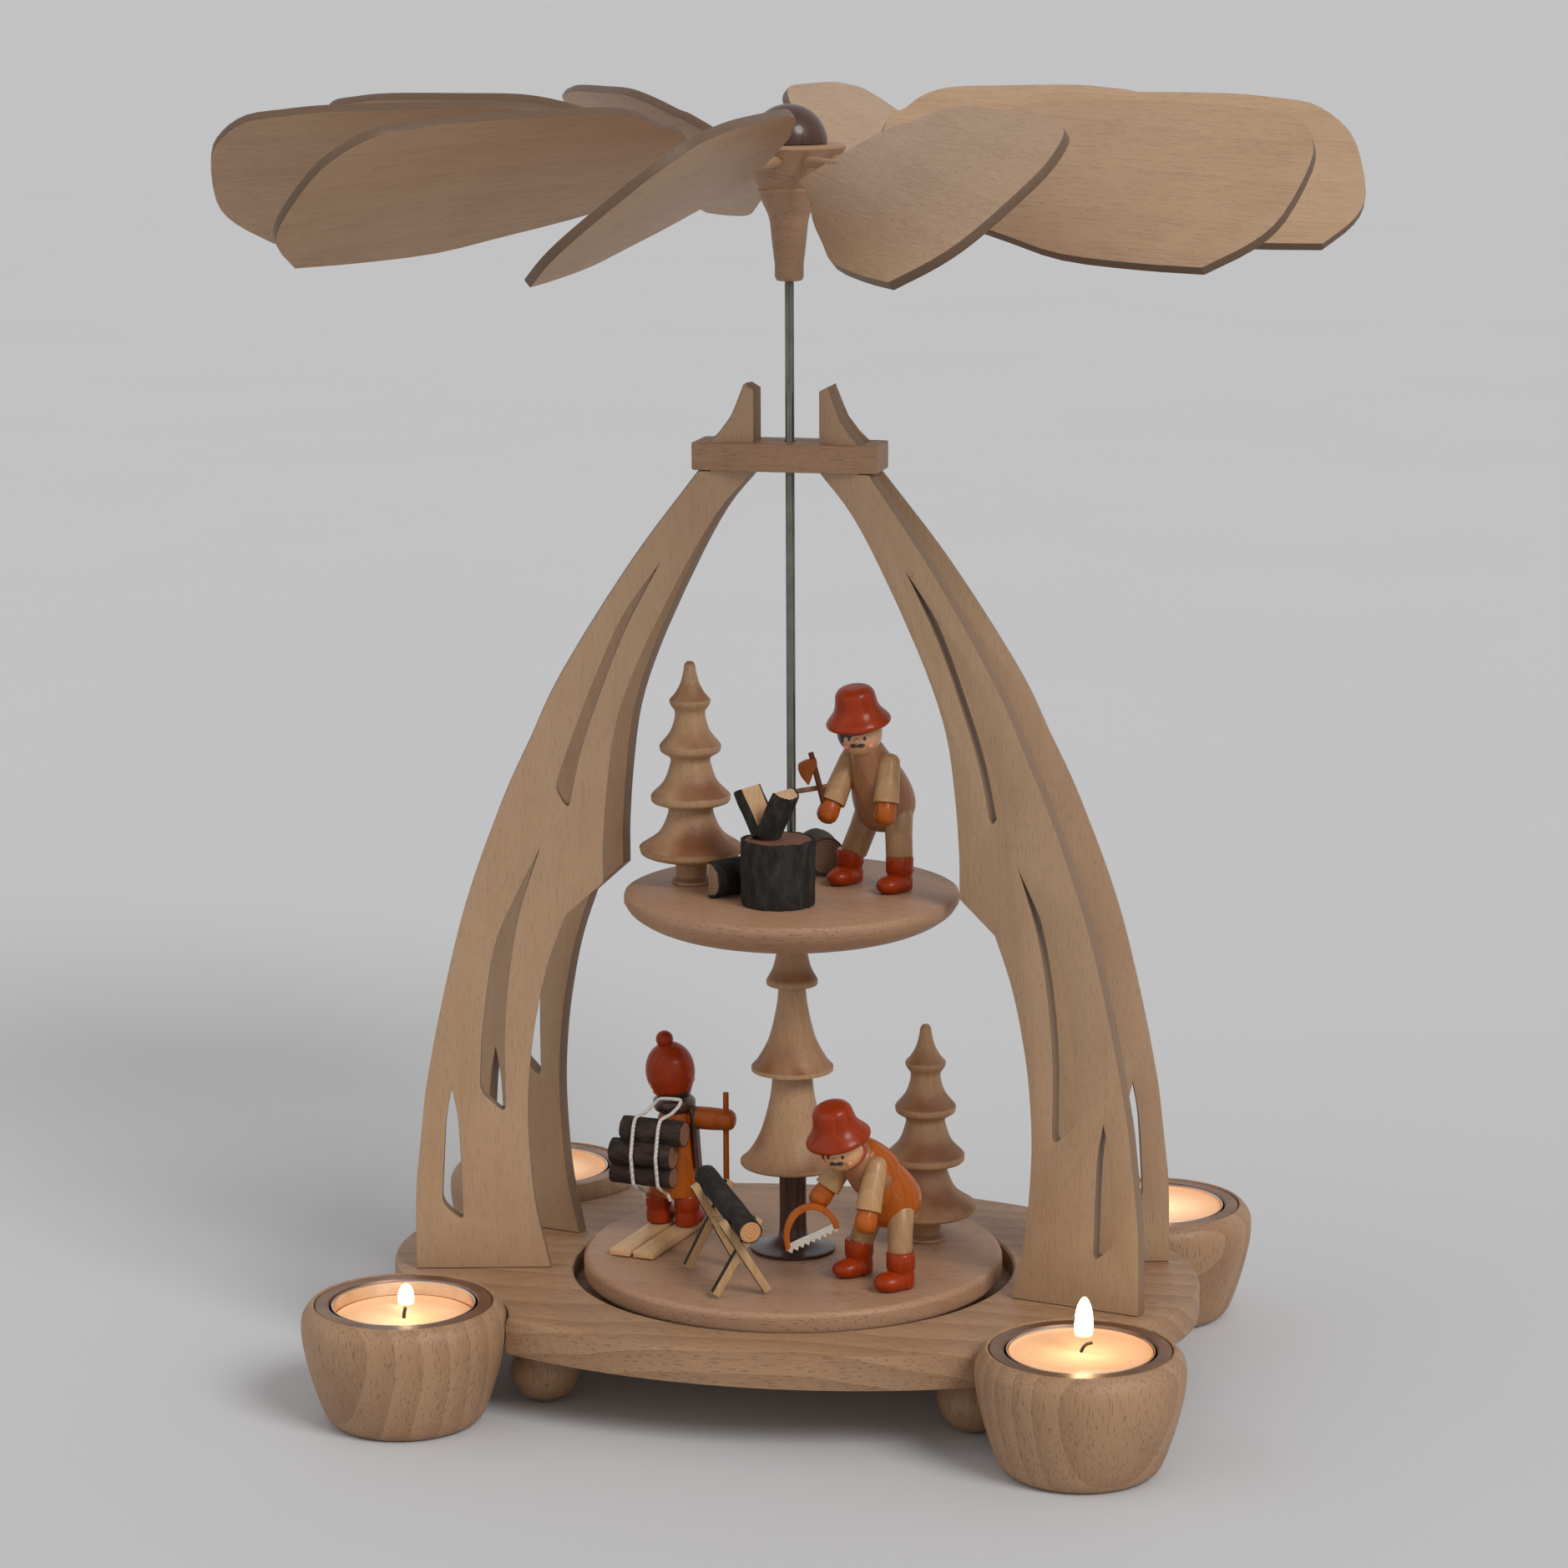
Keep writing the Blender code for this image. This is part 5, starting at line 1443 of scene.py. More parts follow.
@dataclass
class Fan:
    """Hub, knob and the ten pitched blades on their pegs."""

    shaft_radius: float = 1.2
    shaft_top: float = 322.5
    shaft_foot: float = 23.6
    hub_bottom: float = 295.8
    hub_height: float = 35.4
    hub_radius: float = 15.0
    knob_radius: float = 10.1
    peg_height: float = 327.2
    first: float = math.radians(-91.84)
    pitch: float = math.radians(38.5)
    reach: float = 149.0
    width: float = 58.0
    thickness: float = 2.5
    askew: float = math.radians(-4)

    def build(self) -> None:
        """Builds and dresses the shaft, the hub, the knob and the blades.

        The grain of a blade runs a little askew to its peg.
        """
        radius, top, foot = self.shaft_radius, self.shaft_top, self.shaft_foot
        shaft = [
            (0, top), (radius - 0.1, top), (radius, top - 0.2), (radius, foot + 2.4), (0.3, foot), (0, foot),
        ]
        Piece("spindle", "rotor").add(Bench.turned(shaft, 32), STEEL).done("shaft", slot="steel")
        table = (
            (0.0, 1), (0.95, 1), (1, 0.977), (0.56, 0.698), (0.53, 0.684), (0.55, 0.667), (0.45, 0.56),
            (0.347, 0.458), (0.3, 0.288), (0.253, 0.119), (0.253, 0.025), (0.213, 0), (0.1, 0), (0.1, 0.08),
            (0, 0.08),
        )
        profile = shares(table, self.hub_radius, self.hub_height, self.hub_bottom)
        smooth = [*profile[:5], *Bench.flow(profile[5:10]), *profile[10:]]
        # The hub takes the beech with painted shade.
        hub = Piece("fan_hub", "rotor").add(Bench.turned(Bench.eased(smooth, 0.25), 80), PAINTED_SHADE_BEECH)
        hub.done("hub", slot="beech")
        base = self.hub_bottom + self.hub_height + GAP
        dome = [
            (self.knob_radius * math.sin(angle), base + self.knob_radius * math.cos(angle))
            for angle in (TURN / 4 * i / 16 for i in range(17))
        ]
        knob = Piece("top_knob", "rotor").add(Bench.turned([*dome, (0, base)], 64), WALNUT)
        knob.done("knob", slot="walnut")
        for i in range(10):
            blade = Piece(f"fan_blade_{i + 1}", f"fan_blade_{i + 1:02d}", (0, 0, self.peg_height),
                          self.first + TURN * i / 10)
            for angle, axis in ((self.pitch, "X"), (self.askew, "Z")):
                blade.home = blade.home @ Matrix.Rotation(angle, 4, axis)
            blade.add_all(((self.leaf(), VENEER), (self.peg(), BEECH)), Matrix.Rotation(-self.askew, 4, "Z"))
            blade.done(f"blade_{i + 1:02d}", slot="maple")

    def leaf(self) -> bpy.types.Mesh:
        """One thin blade.

        Returns:
            The mesh.
        """
        outer = (
            (0.908, -0.604), (0.972, -0.44), (1, -0.264), (1, 0.052), (0.977, 0.216), (0.933, 0.334),
            (0.87, 0.375), (0.785, 0.407), (0.62, 0.42), (0.483, 0.422), (0.4, 0.37), (0.336, 0.286),
            (0.293, 0.248), (0.222, 0.07), (0.164, -0.138),
        )
        inner = (
            (0.164, -0.138), (0.27, -0.215), (0.396, -0.352), (0.52, -0.46), (0.638, -0.556), (0.785, -0.594),
            (0.908, -0.604),
        )
        outline = Bench.flow(shares(outer, self.reach, self.width), 3)
        outline += Bench.flow(shares(inner, self.reach, self.width), 3)[1:-1]
        return Bench.board(outline, self.thickness, 0.35)

    @staticmethod
    def peg() -> bpy.types.Mesh:
        """The round peg of a blade, which is tapered where it runs out on the blade."""
        profile = ((1.2, 0), (1.5, 0.01), (1.5, 0.86), (1.1, 0.95), (0.5, 1))
        return Bench.stick((8.8, 0, 0), (40, 0, 0), profile, 24)


@dataclass
class Stages:
    """The two turning discs and the turned trees between and on them."""

    bore: float = 1.5
    lower_radius: float = 57.0
    lower_depth: float = 6.2
    upper_radius: float = 45.0
    upper_depth: float = 11.2
    trunk_radius: float = 11.5
    trunk_height: float = 23.6
    crown_radius: float = 14.2
    tree_height: float = 60.4
    tree_radius: float = 13.8

    def build(self) -> None:
        """Builds and dresses the discs and the trees."""
        top, low, edge = LOWER, LOWER - self.lower_depth, self.lower_radius
        disc = [
            (self.bore, top), (edge - 1, top), (edge, top - 1), (edge, low + 1), (edge - 1, low),
            (self.bore, low),
        ]
        lower = Piece("lower_stage", "rotor").add(Bench.turned(Bench.eased(disc, 0.6), 128), BEECH_DISC)
        lower.done("lower_disc", slot="beech")
        top, low, edge = UPPER, UPPER - self.upper_depth, self.upper_radius
        table = ((1, 0.79), (0.955, 0.54), (0.84, 0.27), (0.66, 0.07), (0.45, 0))
        under = Bench.flow(shares(table, edge, self.upper_depth, low))
        rim = ((self.bore, top), (edge - 0.8, top), (edge - 0.2, top - 0.3), (edge, top - 1))
        disc = Bench.turned([*rim, *under, (self.bore, low)], 128)
        Piece("upper_stage", "rotor").add(disc, BEECH_DISC).done("upper_disc", slot="beech")

        base = LOWER + GAP
        table = ((0.322, 1), (0.322, 0.26), (0.42, 0.14), (0.68, 0.06), (0.97, 0.035), (1, 0.02), (1, 0))
        profile = Bench.flow(shares(table, self.trunk_radius, self.trunk_height, base), 3)
        trunk = [(self.bore, base + self.trunk_height), *profile, (self.bore, base)]
        Piece("trunk", "rotor").add(Bench.turned(trunk, 64), WALNUT).done("tree_trunk", slot="walnut")
        base += self.trunk_height + GAP
        height = low - GAP - base
        tiers = (
            ((0.254, 1), (0.28, 0.93), (0.36, 0.85), (0.49, 0.795)),
            ((0.49, 0.795), (0.488, 0.785), (0.46, 0.774), (0.254, 0.771)),
            ((0.254, 0.771), (0.3, 0.68), (0.44, 0.55), (0.65, 0.46), (0.782, 0.426)),
            ((0.782, 0.426), (0.78, 0.414), (0.74, 0.407), (0.373, 0.405)),
            ((0.373, 0.405), (0.43, 0.29), (0.6, 0.15), (0.82, 0.06), (1, 0.02)),
            ((1, 0.02), (0.998, 0.008), (0.94, 0), (0.7, 0)),
        )
        crown: list[Spot] = [(self.bore, base + height)]
        for tier in tiers:
            crown += Bench.flow(shares(tier, self.crown_radius, height, base))[:-1]
        crown += [(self.bore, base)]
        Piece("crown", "rotor").add(Bench.turned(crown, 72), TREE_WOOD).done("tree_crown", slot="beech")
        for name, spot in (("upper", (-28.7, 3.8, UPPER + GAP)), ("lower", (33.4, 16.8, LOWER + GAP))):
            tree = Piece(f"small_tree_{name}", "rotor", spot).add(self.tree(), TREE_WOOD)
            tree.done(f"turned_tree_{name}", slot="beech")

    def tree(self) -> bpy.types.Mesh:
        """A small turned tree with four tiers.

        Returns:
            The mesh.
        """
        table = (
            (0.06, 1), (0.105, 0.985), (0.13, 0.95), (0.19, 0.9), (0.3, 0.855), (0.391, 0.832),
            (0.4, 0.818), (0.365, 0.8), (0.3, 0.778), (0.31, 0.74), (0.4, 0.682), (0.585, 0.63),
            (0.6, 0.614), (0.57, 0.594), (0.4, 0.568), (0.41, 0.53), (0.53, 0.458), (0.755, 0.405),
            (0.775, 0.388), (0.74, 0.366), (0.46, 0.342), (0.47, 0.3), (0.64, 0.225), (0.985, 0.17),
            (1, 0.153), (0.95, 0.128), (0.64, 0.105), (0.34, 0.092), (0.31, 0.06), (0.31, 0.03),
            (0.38, 0.01), (0.39, 0),
        )
        profile = Bench.flow(shares(table, self.tree_radius, self.tree_height), 3)
        return Bench.turned([(0, self.tree_height * 1.002), *profile, (0, 0)], 64, 50)


@dataclass
class Firewood:
    """The chopping block, the log split on it and the two logs on the ground."""

    block: Spot = (0.2, -16.7)
    block_radius: float = 9.6
    block_height: float = 17.2
    split_radius: float = 4.6
    split_length: float = 12.5
    split_lean: float = math.radians(27)

    @staticmethod
    def whole(radius: float, length: float, seed: float, skin: Finish, end: Finish) -> list[Dressed]:
        """A log along Z with its bark and two sawn ends.

        Args:
            radius: Its radius.
            length: Its length.
            seed: Where its furrows start.
            skin: The bark.
            end: The sawn ends.

        Returns:
            Shapes with their finishes.
        """
        half = length / 2
        rings = 14
        wall = [(radius, half - length * i / rings) for i in range(rings + 1)]
        side = Bench.turned([(radius * 0.96, half + 0.02), *wall, (radius * 0.96, -half - 0.02)], 56, 60)
        table = ((0, 0.12), (0.9, 0.1), (0.94, -0.3))
        face = [(radius * share, half + more) for share, more in table]
        cap = Bench.turned(face + [(out, -height) for out, height in reversed(face)], 56)
        return [(Bench.roughened(side, radius * 0.045, seed), skin), (cap, end)]

    @staticmethod
    def half(radius: float, length: float, seed: float, face: Finish) -> list[Dressed]:
        """A log along Z, split along its middle, the split face on +X.

        Args:
            radius: Its radius.
            length: Its length.
            seed: Where its furrows start.
            face: The look of the split face.

        Returns:
            Shapes with their finishes.
        """
        rows = 12
        sweep = (TURN / 4, 3 * TURN / 4, 20)
        core = Bench.board(arc((0, 0), radius * 0.94, *sweep), length + 0.2, 0.25)
        work = bmesh.new()
        walls = [
            [[work.verts.new((*spot, length * (k / rows - 0.5))) for spot in arc((0, 0), size, *sweep)]
             for k in range(rows + 1)]
            for size in (radius, radius * 0.9)
        ]
        outer, inner = walls
        pairs = [pair for wall in walls for pair in zip(wall, wall[1:])]
        pairs += [(outer[row], inner[row]) for row in (0, -1)]
        pairs += [([row[end] for row in outer], [row[end] for row in inner]) for end in (0, -1)]
        for low, high in pairs:
            for corners in zip(low, low[1:], high[1:], high):
                work.faces.new(corners)
        skin = Bench.roughened(Bench.settle(work, 60), radius * 0.06, seed)
        return [(core, face), (skin, BARK_UP)]

    def build(self) -> None:
        """Builds and dresses the firewood."""
        stage = UPPER + GAP
        block = Piece("block", "rotor", (*self.block, stage + self.block_height / 2))
        block.add_all(self.whole(self.block_radius, self.block_height, 3.1, BARK_UP, END_UP))
        block.done("chopping_block", slot="bark")

        reach = self.split_length / 2
        lift = self.split_radius * math.sin(self.split_lean) + reach * math.cos(self.split_lean)
        spot = (self.block[0] - 3.1, self.block[1], stage + self.block_height + GAP)
        pair = Piece("split_halves", "rotor", spot, math.radians(-20))
        for side in (1, -1):
            pair.add_all(
                self.half(self.split_radius, self.split_length, side * 2.0, SPLIT),
                Matrix.Rotation(TURN / 2 if side < 0 else 0, 4, "Z"),
                Matrix.Rotation(-side * self.split_lean, 4, "Y"),
                Matrix.Translation((side * (0.6 - reach * math.sin(self.split_lean)), 0, lift)),
            )
        pair.done("split_log", slot="bark")

        for name, spot, turn, shapes, node in (
            ("half_log_lying", (-16.2, -9.6, stage + 4.8), TURN * 0.4,
             self.half(4.8, 11.0, 5.0, OLD_SPLIT), "half_log"),
            ("round_log_lying", (2.6, 24.3, stage + 5.3), TURN / 14,
             self.whole(5.2, 13.0, 8.4, BARK_LONG, END_LONG), "round_log"),
        ):
            Piece(name, "rotor", spot, turn).add_all(shapes, LAID).done(node, slot="bark")


class Figure(Piece):
    """The piece of a doll, measured forward, to its left and up."""

    def form(self, start: Spot, end: Spot, table: Sequence[Spot], finish: Finish, steps: int = 48) -> None:
        """Adds a turned form with a flowing outline.

        Args:
            start: Where it starts.
            end: Where it ends.
            table: Radius in millimetres and share of the length.
            finish: How it looks.
            steps: How many faces run round.
        """
        self.add(Bench.stick(start, end, Bench.flow(table, 3), steps), finish)

    def bead(self, centre: Spot, radii: Spot, finish: Finish, segments: int = 32) -> None:
        """Adds a rounded body with its finish."""
        self.add(Bench.ball(centre, radii, None, segments), finish)

    def boot(self, forward: float, left: float, rise: float = 0.0, size: float = 1.0) -> None:
        """Adds one boot.

        Args:
            forward: Where the ankle stands.
            left: How far it is to the left.
            rise: Its height above the ground.
            size: Its size against the usual boot.
        """
        radii = (6.0 * size, 3.9 * size, 2.9 * size)
        toe = Bench.ball((forward + 1.7 * size, left, rise + 2.0 * size), radii, rise)
        profile = ((3.5, 0), (3.6, 0.3), (3.35, 0.42), (3.35, 0.46), (3.7, 0.52), (3.75, 0.95), (3.4, 1))
        ankle = Bench.stick((forward - 0.8, left, rise + 0.4), (forward - 0.8, left, rise + 9.2 * size),
                            [(r * size, s) for r, s in profile])
        self.add_all(((toe, ORANGE), (ankle, ORANGE)))

    def leg(self, ankle: Spot, hip: Spot, finish: Finish, thick: float = 3.6) -> None:
        """Adds one leg.

        Args:
            ankle: Where the leg leaves the boot.
            hip: Where it meets the body.
            finish: How it looks.
            thick: Its radius at the ankle.
        """
        profile = ((0.85, 0), (1, 0.06), (1.02, 0.5), (1.12, 0.85), (0.9, 1))
        self.add(Bench.stick(ankle, hip, [(thick * share, place) for share, place in profile]), finish)

    def arm(self, shoulder: Spot, wrist: Spot) -> Vector:
        """Adds a sleeve that widens to the cuff, with a rounded hand.

        Args:
            shoulder: Where the sleeve starts.
            wrist: Where the cuff ends.

        Returns:
            The middle of the hand.
        """
        sleeve = (
            (0.8, -0.13), (2.0, -0.09), (2.7, 0.0), (2.95, 0.15), (3.2, 0.6), (3.55, 0.97), (3.45, 1.0),
            (2.9, 0.985),
        )
        self.add(Bench.stick(shoulder, wrist, sleeve), SLEEVE_WOOD)
        reach = (Vector(wrist) - Vector(shoulder)).normalized()
        fist = ((2.6, 0), (2.8, 0.3), (3.0, 0.55), (2.75, 0.78), (1.9, 0.93), (0.9, 0.99))
        self.add(Bench.stick(Vector(wrist) - reach * 0.8, Vector(wrist) + reach * 6.0, fist), AMBER)
        return Vector(wrist) + reach * 3.0

    def head(self, centre: Spot, radius: float, lean: float, look: float = math.radians(27)) -> None:
        """Adds a head with a black band under the brim, side hair, nose, moustache and cheeks.

        Args:
            centre: The head's middle.
            radius: Its radius.
            lean: How far it is bent forward.
            look: How far the face is turned to the left.
        """
        turn = Matrix.Translation(centre) @ Matrix.Rotation(lean, 4, "Y") @ Matrix.Rotation(look, 4, "Z")
        small = radius * 0.97
        parts = [
            (Bench.ball((0, 0, 0), (radius, radius, radius * 1.02)), SKIN),
            # A black cap set high in the head; only its rim shows, as a black band just under the brim.
            (Bench.ball((0.08, -0.1, 0.78), (small, small, small)), BLACK),
            (Bench.ball((-0.35, -0.75, 0.25), (small, small, small)), BLACK),
            (Bench.ball((-0.7, 0.1, 0.2), (small, small, small)), BLACK),
            (Bench.ball((radius, 0, -radius * 0.02), (0.75, 0.7, 0.7), None, 20), SKIN),
        ]
        for side in (-1, 1):
            eye_spot = (radius * 0.9, side * radius * 0.36, radius * 0.05)
            cheek_spot = (radius * 0.77, side * radius * 0.54, -radius * 0.36)
            eye = Bench.ball(eye_spot, (0.45, 0.45, 0.55), None, 16)
            cheek = Bench.ball(cheek_spot, (0.75, 0.95, 0.8), None, 20)
            tuft = Bench.ball((radius * 0.93, side * 0.95, -radius * 0.27), (0.7, 1.15, 0.55), None, 20)
            parts += [(eye, BLACK), (cheek, BLUSH), (tuft, BLACK)]
        self.add_all(parts, turn)


@dataclass
class Doll:
    """A small turned figure on one of the stages."""

    name: str
    spot: Spot
    heading: float
    stage: float

    def start(self, name: str = "") -> Figure:
        """A piece in the doll's own frame, the doll itself where no other name is given."""
        return Figure(name or self.name, "rotor", (*self.spot, self.stage + GAP), self.heading)

    def hat(self, crown: Spot, lean: float, height: float, node: str) -> None:
        """Builds the bell-shaped hat.

        Args:
            crown: The middle of its underside.
            lean: How far it is bent forward.
            height: Its height.
            node: The solid that it stands for.
        """
        table = (
            (0.2, 1.0), (0.36, 0.985), (0.5, 0.93), (0.6, 0.82), (0.645, 0.62), (0.69, 0.46), (0.8, 0.31),
            (0.93, 0.19), (1.0, 0.1), (0.985, 0.03), (0.9, 0.0),
        )
        profile = Bench.flow(shares(table, 8.7, height), 3)
        mesh = Bench.turned([(0, height * 1.003), *profile, (6.2, 0.35), (0, 0.4)], 64, 50)
        place = Matrix.Translation(crown) @ Matrix.Rotation(lean, 4, "Y")
        self.start(f"{self.name}_cap").add(mesh, ORANGE, place).done(node, slot="stained_orange")


@dataclass
class Woodcutter(Doll):
    """The doll with the axe, bent over the chopping block."""

    name: str = "chopping_doll"
    spot: Spot = (20.5, 8.4)
    heading: float = math.radians(-115.6)
    stage: float = UPPER

    def build(self) -> None:
        """Builds and dresses the doll, its hat and its axe."""
        doll = self.start()
        body = (
            (0.9, -0.02), (5.2, 0.02), (7.6, 0.13), (8.3, 0.28), (7.9, 0.45), (6.7, 0.64), (5.3, 0.82),
            (4.3, 0.95), (3.0, 1.0),
        )
        doll.form((-8.2, 0.2, 16.2), (3.6, 0, 39.5), body, DOLL_WOOD)
        for side in (-1, 1):
            doll.leg((-1.4, side * 7.9, 7.6), (-5.6, side * 4.2, 21.5), LEG_WOOD)
            doll.boot(0.0, side * 8.4)
        hand = doll.arm((0.8, -6.3, 35.6), (8.2, -7.4, 23.4))
        doll.arm((0.8, 6.3, 35.6), (4.4, 7.8, 24.4))
        for share in (0.0, 0.36, 0.68):
            button = Vector((2.3, 1.1, 22.0)) + Vector((3.6, -0.8, 9.5)) * share
            doll.bead(button, (0.42, 0.42, 0.42), BLACK, 16)
        doll.head((5.4, 0, 42.6), 5.8, math.radians(10))
        doll.add(Bench.rod((6.0, -6.8, 28.0), (16.5, -19.2, 25.5), 0.7, 0.7), DOLL_WOOD)
        doll.done("woodcutter", slot="beech")
        self.hat((6.1, 0, 45.2), math.radians(12), 10.7, "woodcutter_hat")

        head = (
            (-6.0, 14.4), (-8.0, 13.3), (-8.0, 11.8), (-7.2, 9.9), (-5.2, 7.4), (-4.4, 9.4), (-3.9, 10.9),
            (-2.8, 12.8), (-3.2, 15.0), (-4.4, 14.6),
        )
        blade = Bench.board(Bench.eased(head, 0.5, True), 1.8, 0.35)
        handle = Bench.rod((-0.6, 0.5, 0), (-4.6, 16.4, 0), 0.85, 0.75)
        place = Matrix.Translation(hand) @ (Matrix.Rotation(FRONT - self.heading, 4, "Z") @ LAID)
        axe = self.start("hand_axe").add_all(((blade, AXE_HEAD), (handle, AXE_HANDLE)), place)
        axe.done("axe", slot="stained_orange")


@dataclass
class Sawyer(Doll):
    """The doll with the bow saw, bent down to the sawhorse."""

    name: str = "sawing_doll"
    spot: Spot = (28.4, -23.2)
    heading: float = math.radians(-125.8)
    stage: float = LOWER
    saw_width: float = 13.6
    saw_turn: float = math.radians(13)

    def build(self) -> None:
        """Builds and dresses the doll, its hat and its saw."""
        doll = self.start()
        skirt = ((1.2, -0.02), (5.8, 0.0), (7.6, 0.1), (8.1, 0.32), (7.4, 0.6), (6.2, 0.84), (5.0, 1.0))
        doll.form((-7.4, 0, 17.6), (1.6, 0, 31.8), skirt, AMBER)
        chest = ((5.2, 0.0), (6.6, 0.16), (6.5, 0.4), (5.6, 0.7), (4.6, 0.92), (3.2, 1.0))
        doll.form((-0.8, 0, 27.4), (8.8, 0, 37.2), chest, DOLL_WOOD)
        coat = ((5.6, 0.0), (6.6, 0.14), (6.55, 0.4), (5.8, 0.68), (5.0, 0.86), (3.2, 0.96))
        doll.form((-1.5, 0, 28.1), (8.1, 0, 37.9), coat, AMBER)
        for side in (-1, 1):
            doll.leg((-0.9, side * 7.8, 8.4), (-4.4, side * 4.2, 21.5), LEG_WOOD, 3.3)
            doll.boot(0.0, side * 8.2, 0.0, 1.04)
        doll.arm((5.4, -5.2, 34.6), (11.4, -7.4, 26.2))
        doll.arm((5.4, 5.6, 34.6), (10.4, 7.6, 22.8))
        collar = Bench.eased([(0, 1.2), (4.3, 1.2), (4.9, 0.2), (4.6, -0.8), (0, -1.0)], 0.5)
        place = Matrix.Translation((9.6, 0, 36.4)) @ Matrix.Rotation(0.7, 4, "Y")
        doll.add(Bench.turned(collar, 40), RED, place)
        doll.head((12.6, 0, 38.6), 5.6, math.radians(16))
        doll.done("sawyer", slot="coat_orange")
        self.hat((13.7, 0, 41.2), math.radians(17), 10.8, "sawyer_hat")
        self.saw()

    def saw(self) -> None:
        """Builds and dresses the bow saw."""
        width = self.saw_width
        sides = (
            ((-0.5, -0.36), (-0.54, 0.08), (-0.38, 0.44), (-0.04, 0.62), (0.3, 0.52), (0.5, 0.28),
             (0.54, 0.12)),
            ((0.44, 0.09), (0.36, 0.28), (0.22, 0.42), (-0.03, 0.49), (-0.28, 0.34), (-0.42, 0.05),
             (-0.41, -0.28)),
        )
        bow = [spot for side in sides for spot in Bench.flow(shares(side, width, width))]
        first = Vector((0.52, 0.13)) * width
        last = Vector((-0.46, -0.35)) * width
        run = last - first
        out = Vector((run.y, -run.x)).normalized()
        teeth = 9
        edge = []
        for tooth in range(teeth):
            edge.append(first + run * ((tooth + 0.5) / teeth) - out * 0.95)
            edge.append(first + run * ((tooth + 1) / teeth) + out * 0.1)
        blade = Bench.board([first, *edge, last + out * 1.7, first + out * 1.7], 0.5, 0.0)
        turn = Matrix.Rotation(self.saw_turn - self.heading, 4, "Z") @ LAID
        place = Matrix.Translation((17.6, -6.6, 14.9)) @ turn
        wood = Bench.board(bow, 1.5, 0.35)
        saw = self.start("hand_saw").add_all(((wood, AMBER), (blade, SAW_STEEL)), place)
        saw.done("bow_saw", slot="coat_orange")


